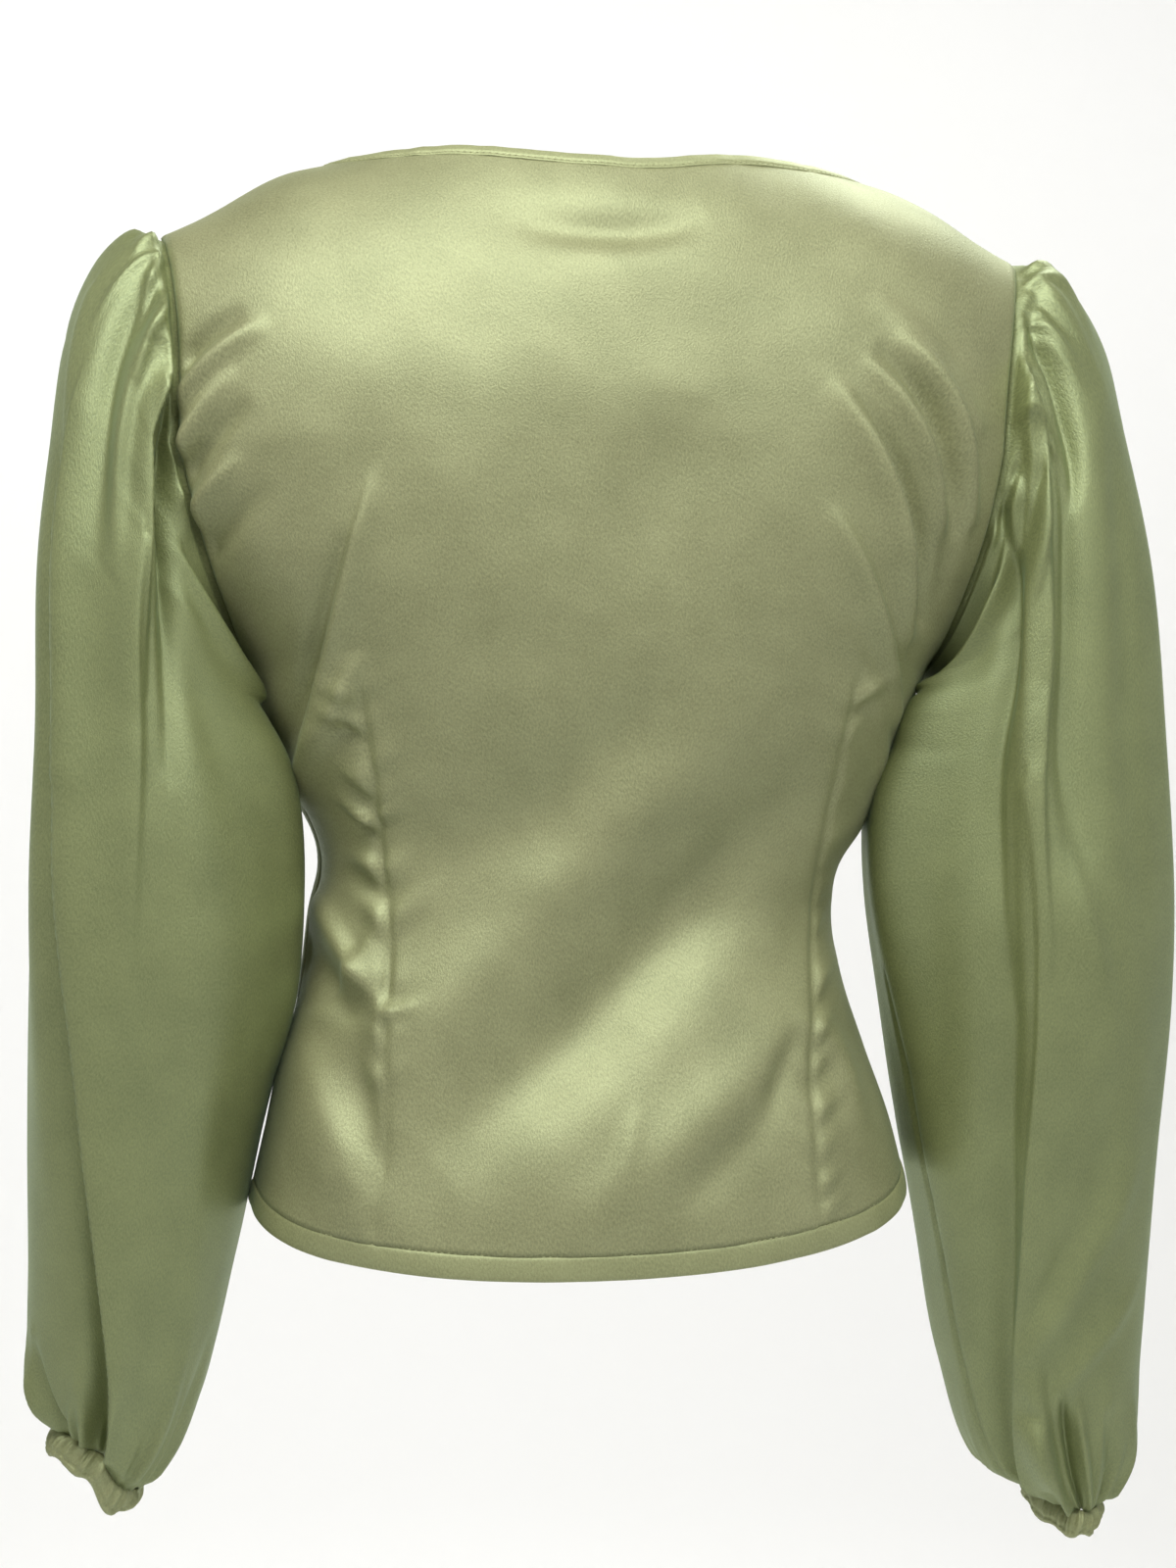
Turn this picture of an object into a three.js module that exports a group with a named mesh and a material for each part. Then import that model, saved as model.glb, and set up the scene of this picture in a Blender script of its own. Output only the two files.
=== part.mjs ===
// A long-sleeved satin blouse, hollow and worn: back and front panels, two gathered sleeves,
// two elastic cuffs, the neck band and the hem band. Each is a cloth wall of its own.
// Millimetres. +Z is up, the front faces -Y, and the wearer's left is +X.
// The origin lies midway between the shoulder seams, where the shoulders carry the blouse.
import * as THREE from "three";

// ---------------------------------------------------------------- driving dimensions
const CLOTH = 1.2; // wall of a panel or a sleeve
const BAND_CLOTH = 1.8; // wall of an edge that is turned over and stitched
const BAND_RAISE = 0.3; // how far a turned edge stands out of the panel it ends
const SEAM_GAP = 0.3; // between two pieces that are sewn together
const NECK_BAND = 7.5; // height of the neck band
const HEM_BAND = 11; // height of the hem band
const CUFF_BAND = 13; // height of a cuff

const NECK_HALF = 119; // from the centre to the neck end of a shoulder seam
const TIP_HALF = 199; // from the centre to the sleeve end of a shoulder seam
const TIP_LEAN = -3; // how far the shoulders' middle is to the wearer's left
const BLADE_Z = -110; // height of the shoulder blades
const ARMPIT_Z = -206; // height of the lowest point of an armhole
const SECTION_POWER = 2.15; // 2 makes the body's sections ellipses, and more makes them squarer

// The torso, section by section: its half width, its depth to the front and to the back, and
// how far its middle leans to the wearer's left. Above the armpits the half width is where the
// armhole cuts it off.
const TORSO = [
  { z: -490, half: 158, front: 112, back: 109, lean: 4 },
  { z: -450, half: 153, front: 111, back: 108, lean: 5 },
  { z: -415, half: 145, front: 108, back: 104, lean: 5 },
  { z: -380, half: 134, front: 102, back: 96, lean: 6 },
  { z: -345, half: 124.5, front: 97, back: 88, lean: 8.5 },
  { z: -318, half: 120.5, front: 95, back: 83, lean: 9 },
  { z: -298, half: 121, front: 97, back: 84, lean: 3.5 },
  { z: -280, half: 127.5, front: 101, back: 86, lean: 0 },
  { z: -245, half: 143.5, front: 115, back: 94, lean: 2 },
  { z: -206, half: 159, front: 126, back: 103, lean: 1 },
  { z: -160, half: 175, front: 123, back: 109, lean: 3 },
  { z: -110, half: 187, front: 112, back: 110, lean: 4 },
];

// The line over the top of the shoulder. Inside the neck it goes on up as if over a neck.
const RIDGE = [
  { x: 0, z: 52 },
  { x: 60, z: 45 },
  { x: 119, z: 22.5 },
  { x: 140, z: 16 },
  { x: 160, z: 7.5 },
  { x: 180, z: -3.5 },
  { x: 199, z: -12.5 },
];

// How the back and the front differ. The armhole's depth is measured at the shoulder blades,
// the slope leans the panel above them, and the neckline starts at an angle up from there.
const BACK = {
  sign: 1,
  depth: "back",
  armhole: 60,
  slope: 0,
  neckAngle: 51.5,
  neckPower: 1.4,
  columns: 24,
};
const FRONT = {
  sign: -1,
  depth: "front",
  armhole: 56,
  slope: 0.3,
  neckAngle: 24,
  neckPower: 1.8,
  columns: 20,
};

// The hem's height, from the wearer's right side seam (-1) to the left one (1). It dips at the
// middle of the front and back, and the right side rides a little higher.
const HEM = [
  { across: -1, z: -441 },
  { across: -0.55, z: -459.5 },
  { across: 0, z: -470 },
  { across: 0.55, z: -464.5 },
  { across: 1, z: -449 },
];

// Rows of a panel by height: 0 hem, then armpit, shoulder blades, shoulder tip, and 1 neckline.
const AT_ARMPIT = 0.46;
const AT_BLADE = 0.66;
const AT_TIP = 0.84;

// The long waist darts: their place across a panel, which is `span` wide, and their two ends.
const DART = { across: 0.58, span: 150, foot: -450, top: -205, deep: 1.6, wide: 5 };

// Soft folds of the back, each from one place to another: x is to the wearer's left.
const BACK_FOLDS = [
  { fromX: 60, fromZ: -60, toX: -60, toZ: -66, high: -2.2, wide: 11 }, // dent under the neck band
  { fromX: -125, fromZ: -250, toX: 85, toZ: -400, high: 3.2, wide: 17 }, // drag line to the left hip
  { fromX: -100, fromZ: -360, toX: -8, toZ: -455, high: 2.6, wide: 15 }, // second drag line below it
  { fromX: -165, fromZ: -85, toX: -150, toZ: -160, high: 2.4, wide: 10 }, // from the right armhole
  { fromX: -128, fromZ: -95, toX: -140, toZ: -215, high: 2.2, wide: 11 },
  { fromX: 178, fromZ: -95, toX: 140, toZ: -62, high: 2, wide: 8 }, // from the left armhole
  { fromX: 108, fromZ: -160, toX: 122, toZ: -262, high: 1.8, wide: 9 }, // above the left dart
  { fromX: 128, fromZ: -405, toX: 118, toZ: -450, high: 2, wide: 9 }, // beside the left hem
];

// Soft folds of the front: from the bust darts, and across the waist.
const FRONT_FOLDS = [
  { fromX: 140, fromZ: -205, toX: 75, toZ: -190, high: -2, wide: 8 }, // bust dart, left
  { fromX: -140, fromZ: -205, toX: -75, toZ: -190, high: -2, wide: 8 }, // bust dart, right
  { fromX: -110, fromZ: -330, toX: 40, toZ: -430, high: 2.4, wide: 15 },
  { fromX: 105, fromZ: -325, toX: -10, toZ: -390, high: 2, wide: 13 },
  { fromX: 150, fromZ: -70, toX: 110, toZ: -150, high: 2, wide: 10 },
  { fromX: -150, fromZ: -70, toX: -108, toZ: -146, high: 2, wide: 10 },
];

// A sleeve, section by section down its length. Each section is a slanted ring: its outer point,
// its inner point beside the body, and how far it reaches to the back and to the front.
const SLEEVE_LEFT = [
  { down: 0, outX: 199, outZ: -12.5, inX: 159, inZ: -206, back: 60, front: -56 },
  { down: 14, outX: 210, outZ: -12.5, inX: 160, inZ: -210, back: 62, front: -58 },
  { down: 30, outX: 224.5, outZ: -27.5, inX: 161, inZ: -214, back: 64, front: -60 },
  { down: 60, outX: 237.5, outZ: -58, inX: 161, inZ: -219, back: 67, front: -62 },
  { down: 105, outX: 244, outZ: -107, inX: 159, inZ: -225, back: 70, front: -62 },
  { down: 160, outX: 249, outZ: -160, inX: 153, inZ: -238, back: 71, front: -60 },
  { down: 225, outX: 250, outZ: -231, inX: 144, inZ: -262, back: 70, front: -58 },
  { down: 290, outX: 254, outZ: -299, inX: 139, inZ: -304, back: 66, front: -58 },
  { down: 350, outX: 256, outZ: -360, inX: 139.5, inZ: -360, back: 62, front: -60 },
  { down: 410, outX: 257, outZ: -420, inX: 153, inZ: -420, back: 56, front: -62 },
  { down: 465, outX: 257, outZ: -473, inX: 163.5, inZ: -473, back: 48, front: -62 },
  { down: 515, outX: 257.5, outZ: -516, inX: 174, inZ: -521, back: 36, front: -58 },
  { down: 545, outX: 254, outZ: -538, inX: 188, inZ: -554, back: 24, front: -48 },
  { down: 562, outX: 243, outZ: -551, inX: 206, inZ: -577, back: 16, front: -38 },
];
const SLEEVE_RIGHT = [
  { down: 0, outX: 199, outZ: -12.5, inX: 159, inZ: -206, back: 60, front: -56 },
  { down: 14, outX: 214.5, outZ: -14.3, inX: 160, inZ: -210, back: 61, front: -58 },
  { down: 30, outX: 229, outZ: -31, inX: 161, inZ: -214, back: 62, front: -60 },
  { down: 60, outX: 245, outZ: -61, inX: 161, inZ: -219, back: 65, front: -62 },
  { down: 105, outX: 255, outZ: -104, inX: 158, inZ: -226, back: 68, front: -62 },
  { down: 160, outX: 265, outZ: -162, inX: 150, inZ: -238, back: 70, front: -60 },
  { down: 225, outX: 271, outZ: -236, inX: 138, inZ: -266, back: 70, front: -58 },
  { down: 290, outX: 274.5, outZ: -304, inX: 137, inZ: -311, back: 68, front: -58 },
  { down: 350, outX: 274, outZ: -364, inX: 144, inZ: -366, back: 64, front: -60 },
  { down: 410, outX: 271.5, outZ: -424, inX: 151, inZ: -425, back: 58, front: -62 },
  { down: 465, outX: 270, outZ: -480, inX: 161, inZ: -480, back: 50, front: -62 },
  { down: 520, outX: 268, outZ: -532, inX: 172, inZ: -534, back: 38, front: -58 },
  { down: 568, outX: 264, outZ: -577, inX: 190, inZ: -583, back: 24, front: -48 },
  { down: 590, outX: 248.5, outZ: -602, inX: 217, inZ: -594, back: 16, front: -38 },
];

// Long folds of a sleeve, each from one distance down and angle around to another.
// Around is 0 at the outer side, 90 at the back, 180 beside the body and 270 at the front.
const LEFT_FOLDS = [
  { from: 20, fromAround: 35, to: 260, toAround: 42, high: 4, wide: 9 },
  { from: 18, fromAround: 66, to: 190, toAround: 76, high: -4, wide: 9 },
  { from: 25, fromAround: 92, to: 230, toAround: 102, high: 4, wide: 9 },
  { from: 80, fromAround: 126, to: 330, toAround: 84, high: -5, wide: 7 },
  { from: 70, fromAround: 150, to: 400, toAround: 140, high: 12, wide: 20 },
  { from: 235, fromAround: 44, to: 555, toAround: 88, high: 4.5, wide: 8 },
  { from: 330, fromAround: 30, to: 555, toAround: 68, high: -3.5, wide: 8 },
  { from: 40, fromAround: 300, to: 330, toAround: 286, high: 4, wide: 10 },
  { from: 90, fromAround: 250, to: 420, toAround: 262, high: -4, wide: 10 },
  { from: 260, fromAround: 215, to: 540, toAround: 240, high: 4, wide: 10 },
];
const RIGHT_FOLDS = [
  { from: 15, fromAround: 72, to: 150, toAround: 86, high: -4, wide: 8 },
  { from: 45, fromAround: 104, to: 380, toAround: 72, high: 5, wide: 9 },
  { from: 120, fromAround: 124, to: 560, toAround: 102, high: -5, wide: 7 },
  { from: 70, fromAround: 150, to: 260, toAround: 158, high: 4.5, wide: 9 },
  { from: 400, fromAround: 62, to: 575, toAround: 78, high: -3.5, wide: 9 },
  { from: 30, fromAround: 308, to: 300, toAround: 292, high: 4, wide: 10 },
  { from: 80, fromAround: 256, to: 450, toAround: 250, high: -4, wide: 10 },
  { from: 280, fromAround: 222, to: 560, toAround: 236, high: 4, wide: 10 },
];

// Gathers: how many there are round a sleeve, how deep they are, and how fast they fade. The
// cap is gathered as far round as `reach` degrees from the shoulder tip, less over the last 25.
const CAP_GATHERS = { count: 20, deep: 3, fade: 46, reach: 118, ease: 25 };
const CUFF_GATHERS = { count: 20, deep: 1.4, fade: 26, onBand: 0.5 };

// Near its edges the cloth is held flat by the seams.
const PANEL_HELD = 0.08; // share of a panel's half width, beside its seams
const CAP_HELD = 10; // of a sleeve, below the armhole
const CUFF_HELD = 8; // of a sleeve, above the cuff
const ARMHOLE_PULL = 45; // how far down a sleeve the armhole's own shape is felt
const SLEEVE_RADIUS = 58; // of a sleeve, for the distance between two angles on it

const SAGE = 0x96a070;
const SAGE_LIGHT = 0xa3ac7c;
const SAGE_DARK = 0x87905f;

// ---------------------------------------------------------------- small helpers
const radians = THREE.MathUtils.degToRad;
const mix = THREE.MathUtils.lerp;
const clamp = THREE.MathUtils.clamp;

/** Reads column `name` of a table at `where` along column `along`, on a smooth curve. */
function read(table, along, name, where) {
  const last = table.length - 1;
  let i = 0;
  while (i < last - 1 && where > table[i + 1][along]) i += 1;
  const slopeAt = (k) => {
    const before = table[Math.max(k - 1, 0)];
    const after = table[Math.min(k + 1, last)];
    return (after[name] - before[name]) / (after[along] - before[along]);
  };
  const span = table[i + 1][along] - table[i][along];
  const t = clamp((where - table[i][along]) / span, 0, 1);
  const rise = table[i + 1][name] - table[i][name];
  const bend = slopeAt(i) * span * (1 - t) - slopeAt(i + 1) * span * t;
  return table[i][name] + rise * t * t * (3 - 2 * t) + t * (1 - t) * bend;
}

/** Height of one soft fold at a distance `aside` from its line and a share `along` its length. */
function foldHeight(fold, aside, along) {
  if (along <= 0 || along >= 1) return 0;
  const taper = Math.sin(Math.PI * along) ** 0.7;
  return fold.high * taper * Math.exp(-((aside / fold.wide) ** 2));
}

// ---------------------------------------------------------------- the body's form
/** The body's section at height `z`, up to the shoulder blades: its reach and its shape. */
function section(side, z) {
  const half = read(TORSO, "z", "half", z);
  const lean = read(TORSO, "z", "lean", z);
  const depth = read(TORSO, "z", side.depth, z);
  const up = clamp((z - ARMPIT_Z) / (BLADE_Z - ARMPIT_Z), 0, 1);
  const armholeDepth = side.armhole * Math.sqrt(1 - (1 - up) ** 2);
  const share = (1 - (armholeDepth / depth) ** SECTION_POWER) ** (1 / SECTION_POWER);
  const reach = half / share;
  const lastAngle = Math.asin(Math.min(share, 1) ** (SECTION_POWER / 2));
  return { reach, depth, lean, lastAngle };
}

/** A number raised to a power, with its sign kept. */
const signedPower = (value, power) => Math.sign(value) * Math.abs(value) ** power;

/** A point on the body at height `z` and at an angle round from the centre line. */
function angledPoint(side, angle, z) {
  const { reach, depth, lean } = section(side, z);
  const x = lean + reach * signedPower(Math.sin(angle), 2 / SECTION_POWER);
  const y = depth * signedPower(Math.cos(angle), 2 / SECTION_POWER);
  return new THREE.Vector3(x, side.sign * y, z);
}

/** A point on the body at height `z`, a share `u` of the way from the centre to the side. */
function bodyPoint(side, u, z) {
  return angledPoint(side, u * section(side, z).lastAngle, z);
}

/** A point above the shoulder blades: a share `a` across, and `up` degrees over the shoulder. */
function shoulderPoint(side, a, up) {
  const base = bodyPoint(side, a, BLADE_Z);
  const climb = Math.sin(radians(up));
  const half = read(TORSO, "z", "half", BLADE_Z);
  const lean = read(TORSO, "z", "lean", BLADE_Z);
  const widening = mix(half, TIP_HALF, climb ** 2) / half;
  const x = mix(lean, TIP_LEAN, climb) + (base.x - lean) * widening;
  const slope = 1 - side.slope * climb * Math.cos(radians(up));
  const y = base.y * Math.cos(radians(up)) * slope;
  const z = mix(BLADE_Z, read(RIDGE, "x", "z", Math.abs(x)), climb);
  return new THREE.Vector3(x, y, z);
}

/** The share across the shoulder-blade section that stands under `x` on the shoulder line. */
function shareUnder(side, x) {
  const { reach, lastAngle } = section(side, BLADE_Z);
  const atBlade = (x / TIP_HALF) * read(TORSO, "z", "half", BLADE_Z);
  return Math.asin((atBlade / reach) ** (SECTION_POWER / 2)) / lastAngle;
}

/** The direction square to a surface where `pointAt` puts `a` and `b`. */
function squareTo(pointAt, a, b, stepA, stepB) {
  const alongA = pointAt(a + stepA, b).sub(pointAt(a - stepA, b));
  const alongB = pointAt(a, b + stepB).sub(pointAt(a, b - stepB));
  return alongA.cross(alongB).normalize();
}

/** Where a panel's cloth is at `u` across, -1 to 1, and `v` up, 0 to 1, and which way is out. */
function panelPlace(side, u, v) {
  if (v <= AT_BLADE) {
    const hem = read(HEM, "across", "z", u);
    const up = (v - AT_ARMPIT) / (AT_BLADE - AT_ARMPIT);
    const z = v <= AT_ARMPIT ? mix(hem, ARMPIT_Z, v / AT_ARMPIT) : mix(ARMPIT_Z, BLADE_Z, up);
    const pointAt = (angle, height) => angledPoint(side, angle, height);
    const angle = u * section(side, z).lastAngle;
    const out = squareTo(pointAt, angle, z, 1e-3, 0.5).multiplyScalar(-side.sign);
    return { point: pointAt(angle, z), out };
  }
  const centreUp = (side.neckAngle * (v - AT_BLADE)) / (1 - AT_BLADE);
  const edgeUp = 90 * Math.min((v - AT_BLADE) / (AT_TIP - AT_BLADE), 1);
  const upSeam = Math.max(v - AT_TIP, 0) / (1 - AT_TIP);
  const edgeX = mix(TIP_HALF, NECK_HALF, upSeam);
  const rounded = mix(u, Math.sin((Math.PI / 2) * u), upSeam);
  const share = rounded * shareUnder(side, edgeX);
  const up = mix(centreUp, edgeUp, Math.abs(u) ** side.neckPower);
  const pointAt = (a, angle) => shoulderPoint(side, a, angle);
  const out = squareTo(pointAt, share, up, 1e-3, 0.1).multiplyScalar(-side.sign);
  return { point: pointAt(share, up), out };
}

/** The point alone. */
const panelPoint = (side, u, v) => panelPlace(side, u, v).point;

/** How far the folds and darts lift the cloth of a panel at a point. */
function panelLift(folds, u, point) {
  let lift = 0;
  for (const fold of folds) {
    const runX = fold.toX - fold.fromX;
    const runZ = fold.toZ - fold.fromZ;
    const length = Math.hypot(runX, runZ);
    const offX = point.x - fold.fromX;
    const offZ = point.z - fold.fromZ;
    const along = (offX * runX + offZ * runZ) / length ** 2;
    const aside = (offX * runZ - offZ * runX) / length;
    lift += foldHeight(fold, aside, along);
  }
  const dartAlong = (point.z - DART.foot) / (DART.top - DART.foot);
  const dartAside = (Math.abs(u) - DART.across) * DART.span;
  const dart = { high: -DART.deep, wide: DART.wide };
  lift += foldHeight(dart, dartAside, dartAlong);
  const toEdge = clamp((1 - Math.abs(u)) / PANEL_HELD, 0, 1);
  return lift * toEdge;
}

/**
 * The v of the row that lies `distance` millimetres below the neckline at `u`. The distance is
 * square to the neckline, but along the seam at the shoulders, where back and front must agree.
 */
function belowNeckline(side, u, distance) {
  const probe = 1e-3;
  const steps = 4;
  const beside = u > 0 ? u - probe : u + probe;
  const fromSeam = clamp((1 - Math.abs(u)) / 0.2, 0, 1);
  let v = 1;
  for (let i = 0; i < steps; i += 1) {
    const here = panelPoint(side, u, v);
    const down = here.clone().sub(panelPoint(side, u, v - probe));
    const across = here.sub(panelPoint(side, beside, v)).normalize();
    const square = down.clone().cross(across).length();
    v -= (distance / steps / mix(down.length(), square, fromSeam)) * probe;
  }
  return v;
}

/** The v of the row that lies `distance` millimetres above the hem at `u`. */
function aboveHem(u, distance) {
  const hem = read(HEM, "across", "z", u);
  return (AT_ARMPIT * distance) / (ARMPIT_Z - hem);
}

// ---------------------------------------------------------------- cloth walls
/** Closes a grid of outer and inner points into a wall, with rims along its open edges. */
function wallGeometry(outer, inner, closedRound) {
  const rows = outer.length;
  const columns = outer[0].length;
  const positions = [];
  for (const grid of [outer, inner]) {
    for (const row of grid) {
      for (const point of row) positions.push(point.x, point.y, point.z);
    }
  }
  const index = [];
  const outerAt = (r, c) => r * columns + (c % columns);
  const innerAt = (r, c) => rows * columns + outerAt(r, c);
  const quad = (a, b, c, d) => index.push(a, b, c, a, c, d);
  const spans = closedRound ? columns : columns - 1;
  for (let r = 0; r < rows - 1; r += 1) {
    for (let c = 0; c < spans; c += 1) {
      quad(outerAt(r, c), outerAt(r, c + 1), outerAt(r + 1, c + 1), outerAt(r + 1, c));
      quad(innerAt(r, c), innerAt(r + 1, c), innerAt(r + 1, c + 1), innerAt(r, c + 1));
    }
  }
  for (let c = 0; c < spans; c += 1) {
    quad(outerAt(0, c), innerAt(0, c), innerAt(0, c + 1), outerAt(0, c + 1));
    const top = rows - 1;
    quad(outerAt(top, c), outerAt(top, c + 1), innerAt(top, c + 1), innerAt(top, c));
  }
  if (!closedRound) {
    const end = columns - 1;
    for (let r = 0; r < rows - 1; r += 1) {
      quad(outerAt(r, 0), outerAt(r + 1, 0), innerAt(r + 1, 0), innerAt(r, 0));
      quad(outerAt(r, end), innerAt(r, end), innerAt(r + 1, end), outerAt(r + 1, end));
    }
  }
  const geometry = new THREE.BufferGeometry();
  geometry.setAttribute("position", new THREE.Float32BufferAttribute(positions, 3));
  geometry.setIndex(index);
  geometry.computeVertexNormals();
  return geometry;
}

/** A wall over a grid of `places`: each gives a point, its outward direction and its lift. */
function wallOver(places, thickness, raise, closedRound) {
  const outer = [];
  const inner = [];
  for (const row of places) {
    outer.push(row.map(({ point, out, lift }) => point.clone().addScaledVector(out, lift + raise)));
    inner.push(
      row.map(({ point, out, lift }) => {
        return point.clone().addScaledVector(out, lift + raise - thickness);
      }),
    );
  }
  return wallGeometry(outer, inner, closedRound);
}

function clothMesh(name, geometry, color) {
  const material = new THREE.MeshStandardMaterial({
    color,
    roughness: 0.42,
    metalness: 0,
  });
  const mesh = new THREE.Mesh(geometry, material);
  mesh.name = name;
  return mesh;
}

// ---------------------------------------------------------------- panels
const STITCH_ANGLE = 18; // round an armhole, between the points that panel and sleeve share
const ROWS_BELOW = 7; // rows of a panel from the hem to the armpit
const ROWS_ABOVE = 4; // rows of a panel from the shoulder tip to the neckline

/** The v of each row of a panel at `u`, from above the hem band to below the neck band. */
function panelRows(side, u) {
  const foot = aboveHem(u, HEM_BAND + SEAM_GAP);
  const head = belowNeckline(side, u, NECK_BAND + SEAM_GAP);
  const quarter = 90 / STITCH_ANGLE;
  const rows = [];
  for (let i = 0; i < ROWS_BELOW; i += 1) rows.push(mix(foot, AT_ARMPIT, i / ROWS_BELOW));
  for (let i = 0; i < quarter; i += 1) {
    rows.push(mix(AT_ARMPIT, AT_BLADE, 1 - Math.cos(radians(STITCH_ANGLE * i))));
  }
  for (let i = 0; i < quarter; i += 1) rows.push(mix(AT_BLADE, AT_TIP, i / quarter));
  for (let i = 0; i <= ROWS_ABOVE; i += 1) rows.push(mix(AT_TIP, head, i / ROWS_ABOVE));
  return rows;
}

/** One panel, back or front, from above the hem band to below the neck band. */
function panel(name, side, folds, color) {
  const columns = side.columns;
  const flip = side.sign > 0 ? -1 : 1;
  const places = panelRows(side, 0).map(() => []);
  for (let c = 0; c <= columns; c += 1) {
    const u = flip * ((2 * c) / columns - 1);
    panelRows(side, u).forEach((v, r) => {
      const { point, out } = panelPlace(side, u, v);
      const lift = panelLift(folds, u, point);
      if (c === 0 || c === columns) point.y += (side.sign * SEAM_GAP) / 2;
      places[r].push({ point, out, lift });
    });
  }
  return clothMesh(name, wallOver(places, CLOTH, 0, false), color);
}

// ---------------------------------------------------------------- bands round the neck and hem
/** A closed band round the body: `rowOf` gives the v of each of its edges at `u`. */
function roundBand(name, rowOf, raise, color) {
  const places = [];
  for (const edge of [0, 1]) {
    const row = [];
    for (const side of [FRONT, BACK]) {
      const flip = side.sign > 0 ? -1 : 1;
      for (let c = 0; c < side.columns; c += 1) {
        const u = flip * ((2 * c) / side.columns - 1);
        row.push({ ...panelPlace(side, u, rowOf(side, u, edge)), lift: 0 });
      }
    }
    places.push(row);
  }
  return clothMesh(name, wallOver(places, BAND_CLOTH, raise, true), color);
}

// ---------------------------------------------------------------- sleeves
/** A point that a panel shares with an armhole, at an angle round from the shoulder tip. */
function stitchPoint(hand, around) {
  const side = around <= 180 ? BACK : FRONT;
  const fromTip = around <= 180 ? around : 360 - around;
  if (fromTip <= 90) return shoulderPoint(side, hand, 90 - fromTip);
  const drop = Math.sin(radians(fromTip - 90));
  return bodyPoint(side, hand, mix(BLADE_Z, ARMPIT_Z, drop));
}

/** A point on an armhole, straight between the points that the panels share with it. */
function armholePoint(hand, around) {
  const turn = (around + 360) % 360;
  const before = STITCH_ANGLE * Math.floor(turn / STITCH_ANGLE);
  const share = (turn - before) / STITCH_ANGLE;
  return stitchPoint(hand, before).lerp(stitchPoint(hand, before + STITCH_ANGLE), share);
}

/** A point on the smooth sections of the sleeve on side `hand`, 1 for left and -1 for right. */
function sectionPoint(hand, table, down, around) {
  const outX = read(table, "down", "outX", down);
  const outZ = read(table, "down", "outZ", down);
  const inX = read(table, "down", "inX", down);
  const inZ = read(table, "down", "inZ", down);
  const back = read(table, "down", "back", down);
  const front = read(table, "down", "front", down);
  const cosine = Math.cos(radians(around));
  const sine = Math.sin(radians(around));
  const share = (1 + cosine) / 2;
  const y = (back + front) / 2 + (sine * (back - front)) / 2;
  return new THREE.Vector3(hand * mix(inX, outX, share), y, mix(inZ, outZ, share));
}

/** A point on a sleeve: its sections, drawn to the armhole's true curve at the top. */
function sleevePoint(hand, table, down, around) {
  const point = sectionPoint(hand, table, down, around);
  const pull = Math.exp(-((down / ARMHOLE_PULL) ** 2));
  const error = armholePoint(hand, around).sub(sectionPoint(hand, table, 0, around));
  point.addScaledVector(error, pull);
  point.x += hand * SEAM_GAP;
  return point;
}

/** How far a sleeve's folds and gathers lift its cloth. */
function sleeveLift(table, folds, down, around) {
  const length = table[table.length - 1].down;
  let lift = 0;
  for (const fold of folds) {
    const along = (down - fold.from) / (fold.to - fold.from);
    const centre = mix(fold.fromAround, fold.toAround, along);
    const aside = radians(around - centre) * SLEEVE_RADIUS;
    lift += foldHeight(fold, aside, along);
  }
  const fromTop = Math.min(around, 360 - around);
  const inCap = clamp((CAP_GATHERS.reach - fromTop) / CAP_GATHERS.ease, 0, 1);
  const capWave = Math.cos(radians(CAP_GATHERS.count * around));
  lift += CAP_GATHERS.deep * inCap * capWave * Math.exp(-down / CAP_GATHERS.fade);
  const fromCuff = length - down;
  const cuffWave = Math.cos(radians(CUFF_GATHERS.count * around));
  lift += CUFF_GATHERS.deep * cuffWave * Math.exp(-fromCuff / CUFF_GATHERS.fade);
  return lift * Math.min(down / CAP_HELD, 1) * Math.min(fromCuff / CUFF_HELD, 1);
}

/** The grid of places of a sleeve or cuff, from its lower edge up. */
function tubePlaces(pointAt, liftAt, downs, columns, hand) {
  const places = [];
  for (const down of [...downs].reverse()) {
    const row = [];
    for (let c = 0; c < columns; c += 1) {
      const turn = (360 * c) / columns;
      const around = hand > 0 ? turn : (360 - turn) % 360;
      const out = squareTo(pointAt, down, around, 0.5, 0.5).multiplyScalar(hand);
      row.push({ point: pointAt(down, around), out, lift: liftAt(down, around) });
    }
    places.push(row);
  }
  return places;
}

const SLEEVE_STEPS = [0, 6, 16, 32, 58, 100, 155, 215, 280, 345, 405, 460, 510, 550];
const SLEEVE_COLUMNS = 40;

function sleeve(name, table, folds, hand, color) {
  const length = table[table.length - 1].down;
  const lastStep = SLEEVE_STEPS[SLEEVE_STEPS.length - 1];
  const downs = SLEEVE_STEPS.map((step) => (step * (length - SEAM_GAP)) / lastStep);
  const pointAt = (down, around) => sleevePoint(hand, table, down, around);
  const liftAt = (down, around) => sleeveLift(table, folds, down, around);
  const places = tubePlaces(pointAt, liftAt, downs, SLEEVE_COLUMNS, hand);
  return clothMesh(name, wallOver(places, CLOTH, 0, true), color);
}

/** A cuff carries on from its sleeve's last section, straight down its slant. */
function cuff(name, table, hand, color) {
  const last = table[table.length - 1];
  const slant = new THREE.Vector3(last.inX - last.outX, 0, last.inZ - last.outZ).normalize();
  const downward = new THREE.Vector3(-hand * slant.z, 0, slant.x);
  const pointAt = (down, around) => {
    const point = sectionPoint(hand, table, last.down, around);
    return point.addScaledVector(downward, down + SEAM_GAP);
  };
  const liftAt = (down, around) => {
    return CUFF_GATHERS.onBand * Math.cos(radians(CUFF_GATHERS.count * around));
  };
  const downs = [0, CUFF_BAND];
  const places = tubePlaces(pointAt, liftAt, downs, SLEEVE_COLUMNS, hand);
  return clothMesh(name, wallOver(places, BAND_CLOTH, 0, true), color);
}

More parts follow.
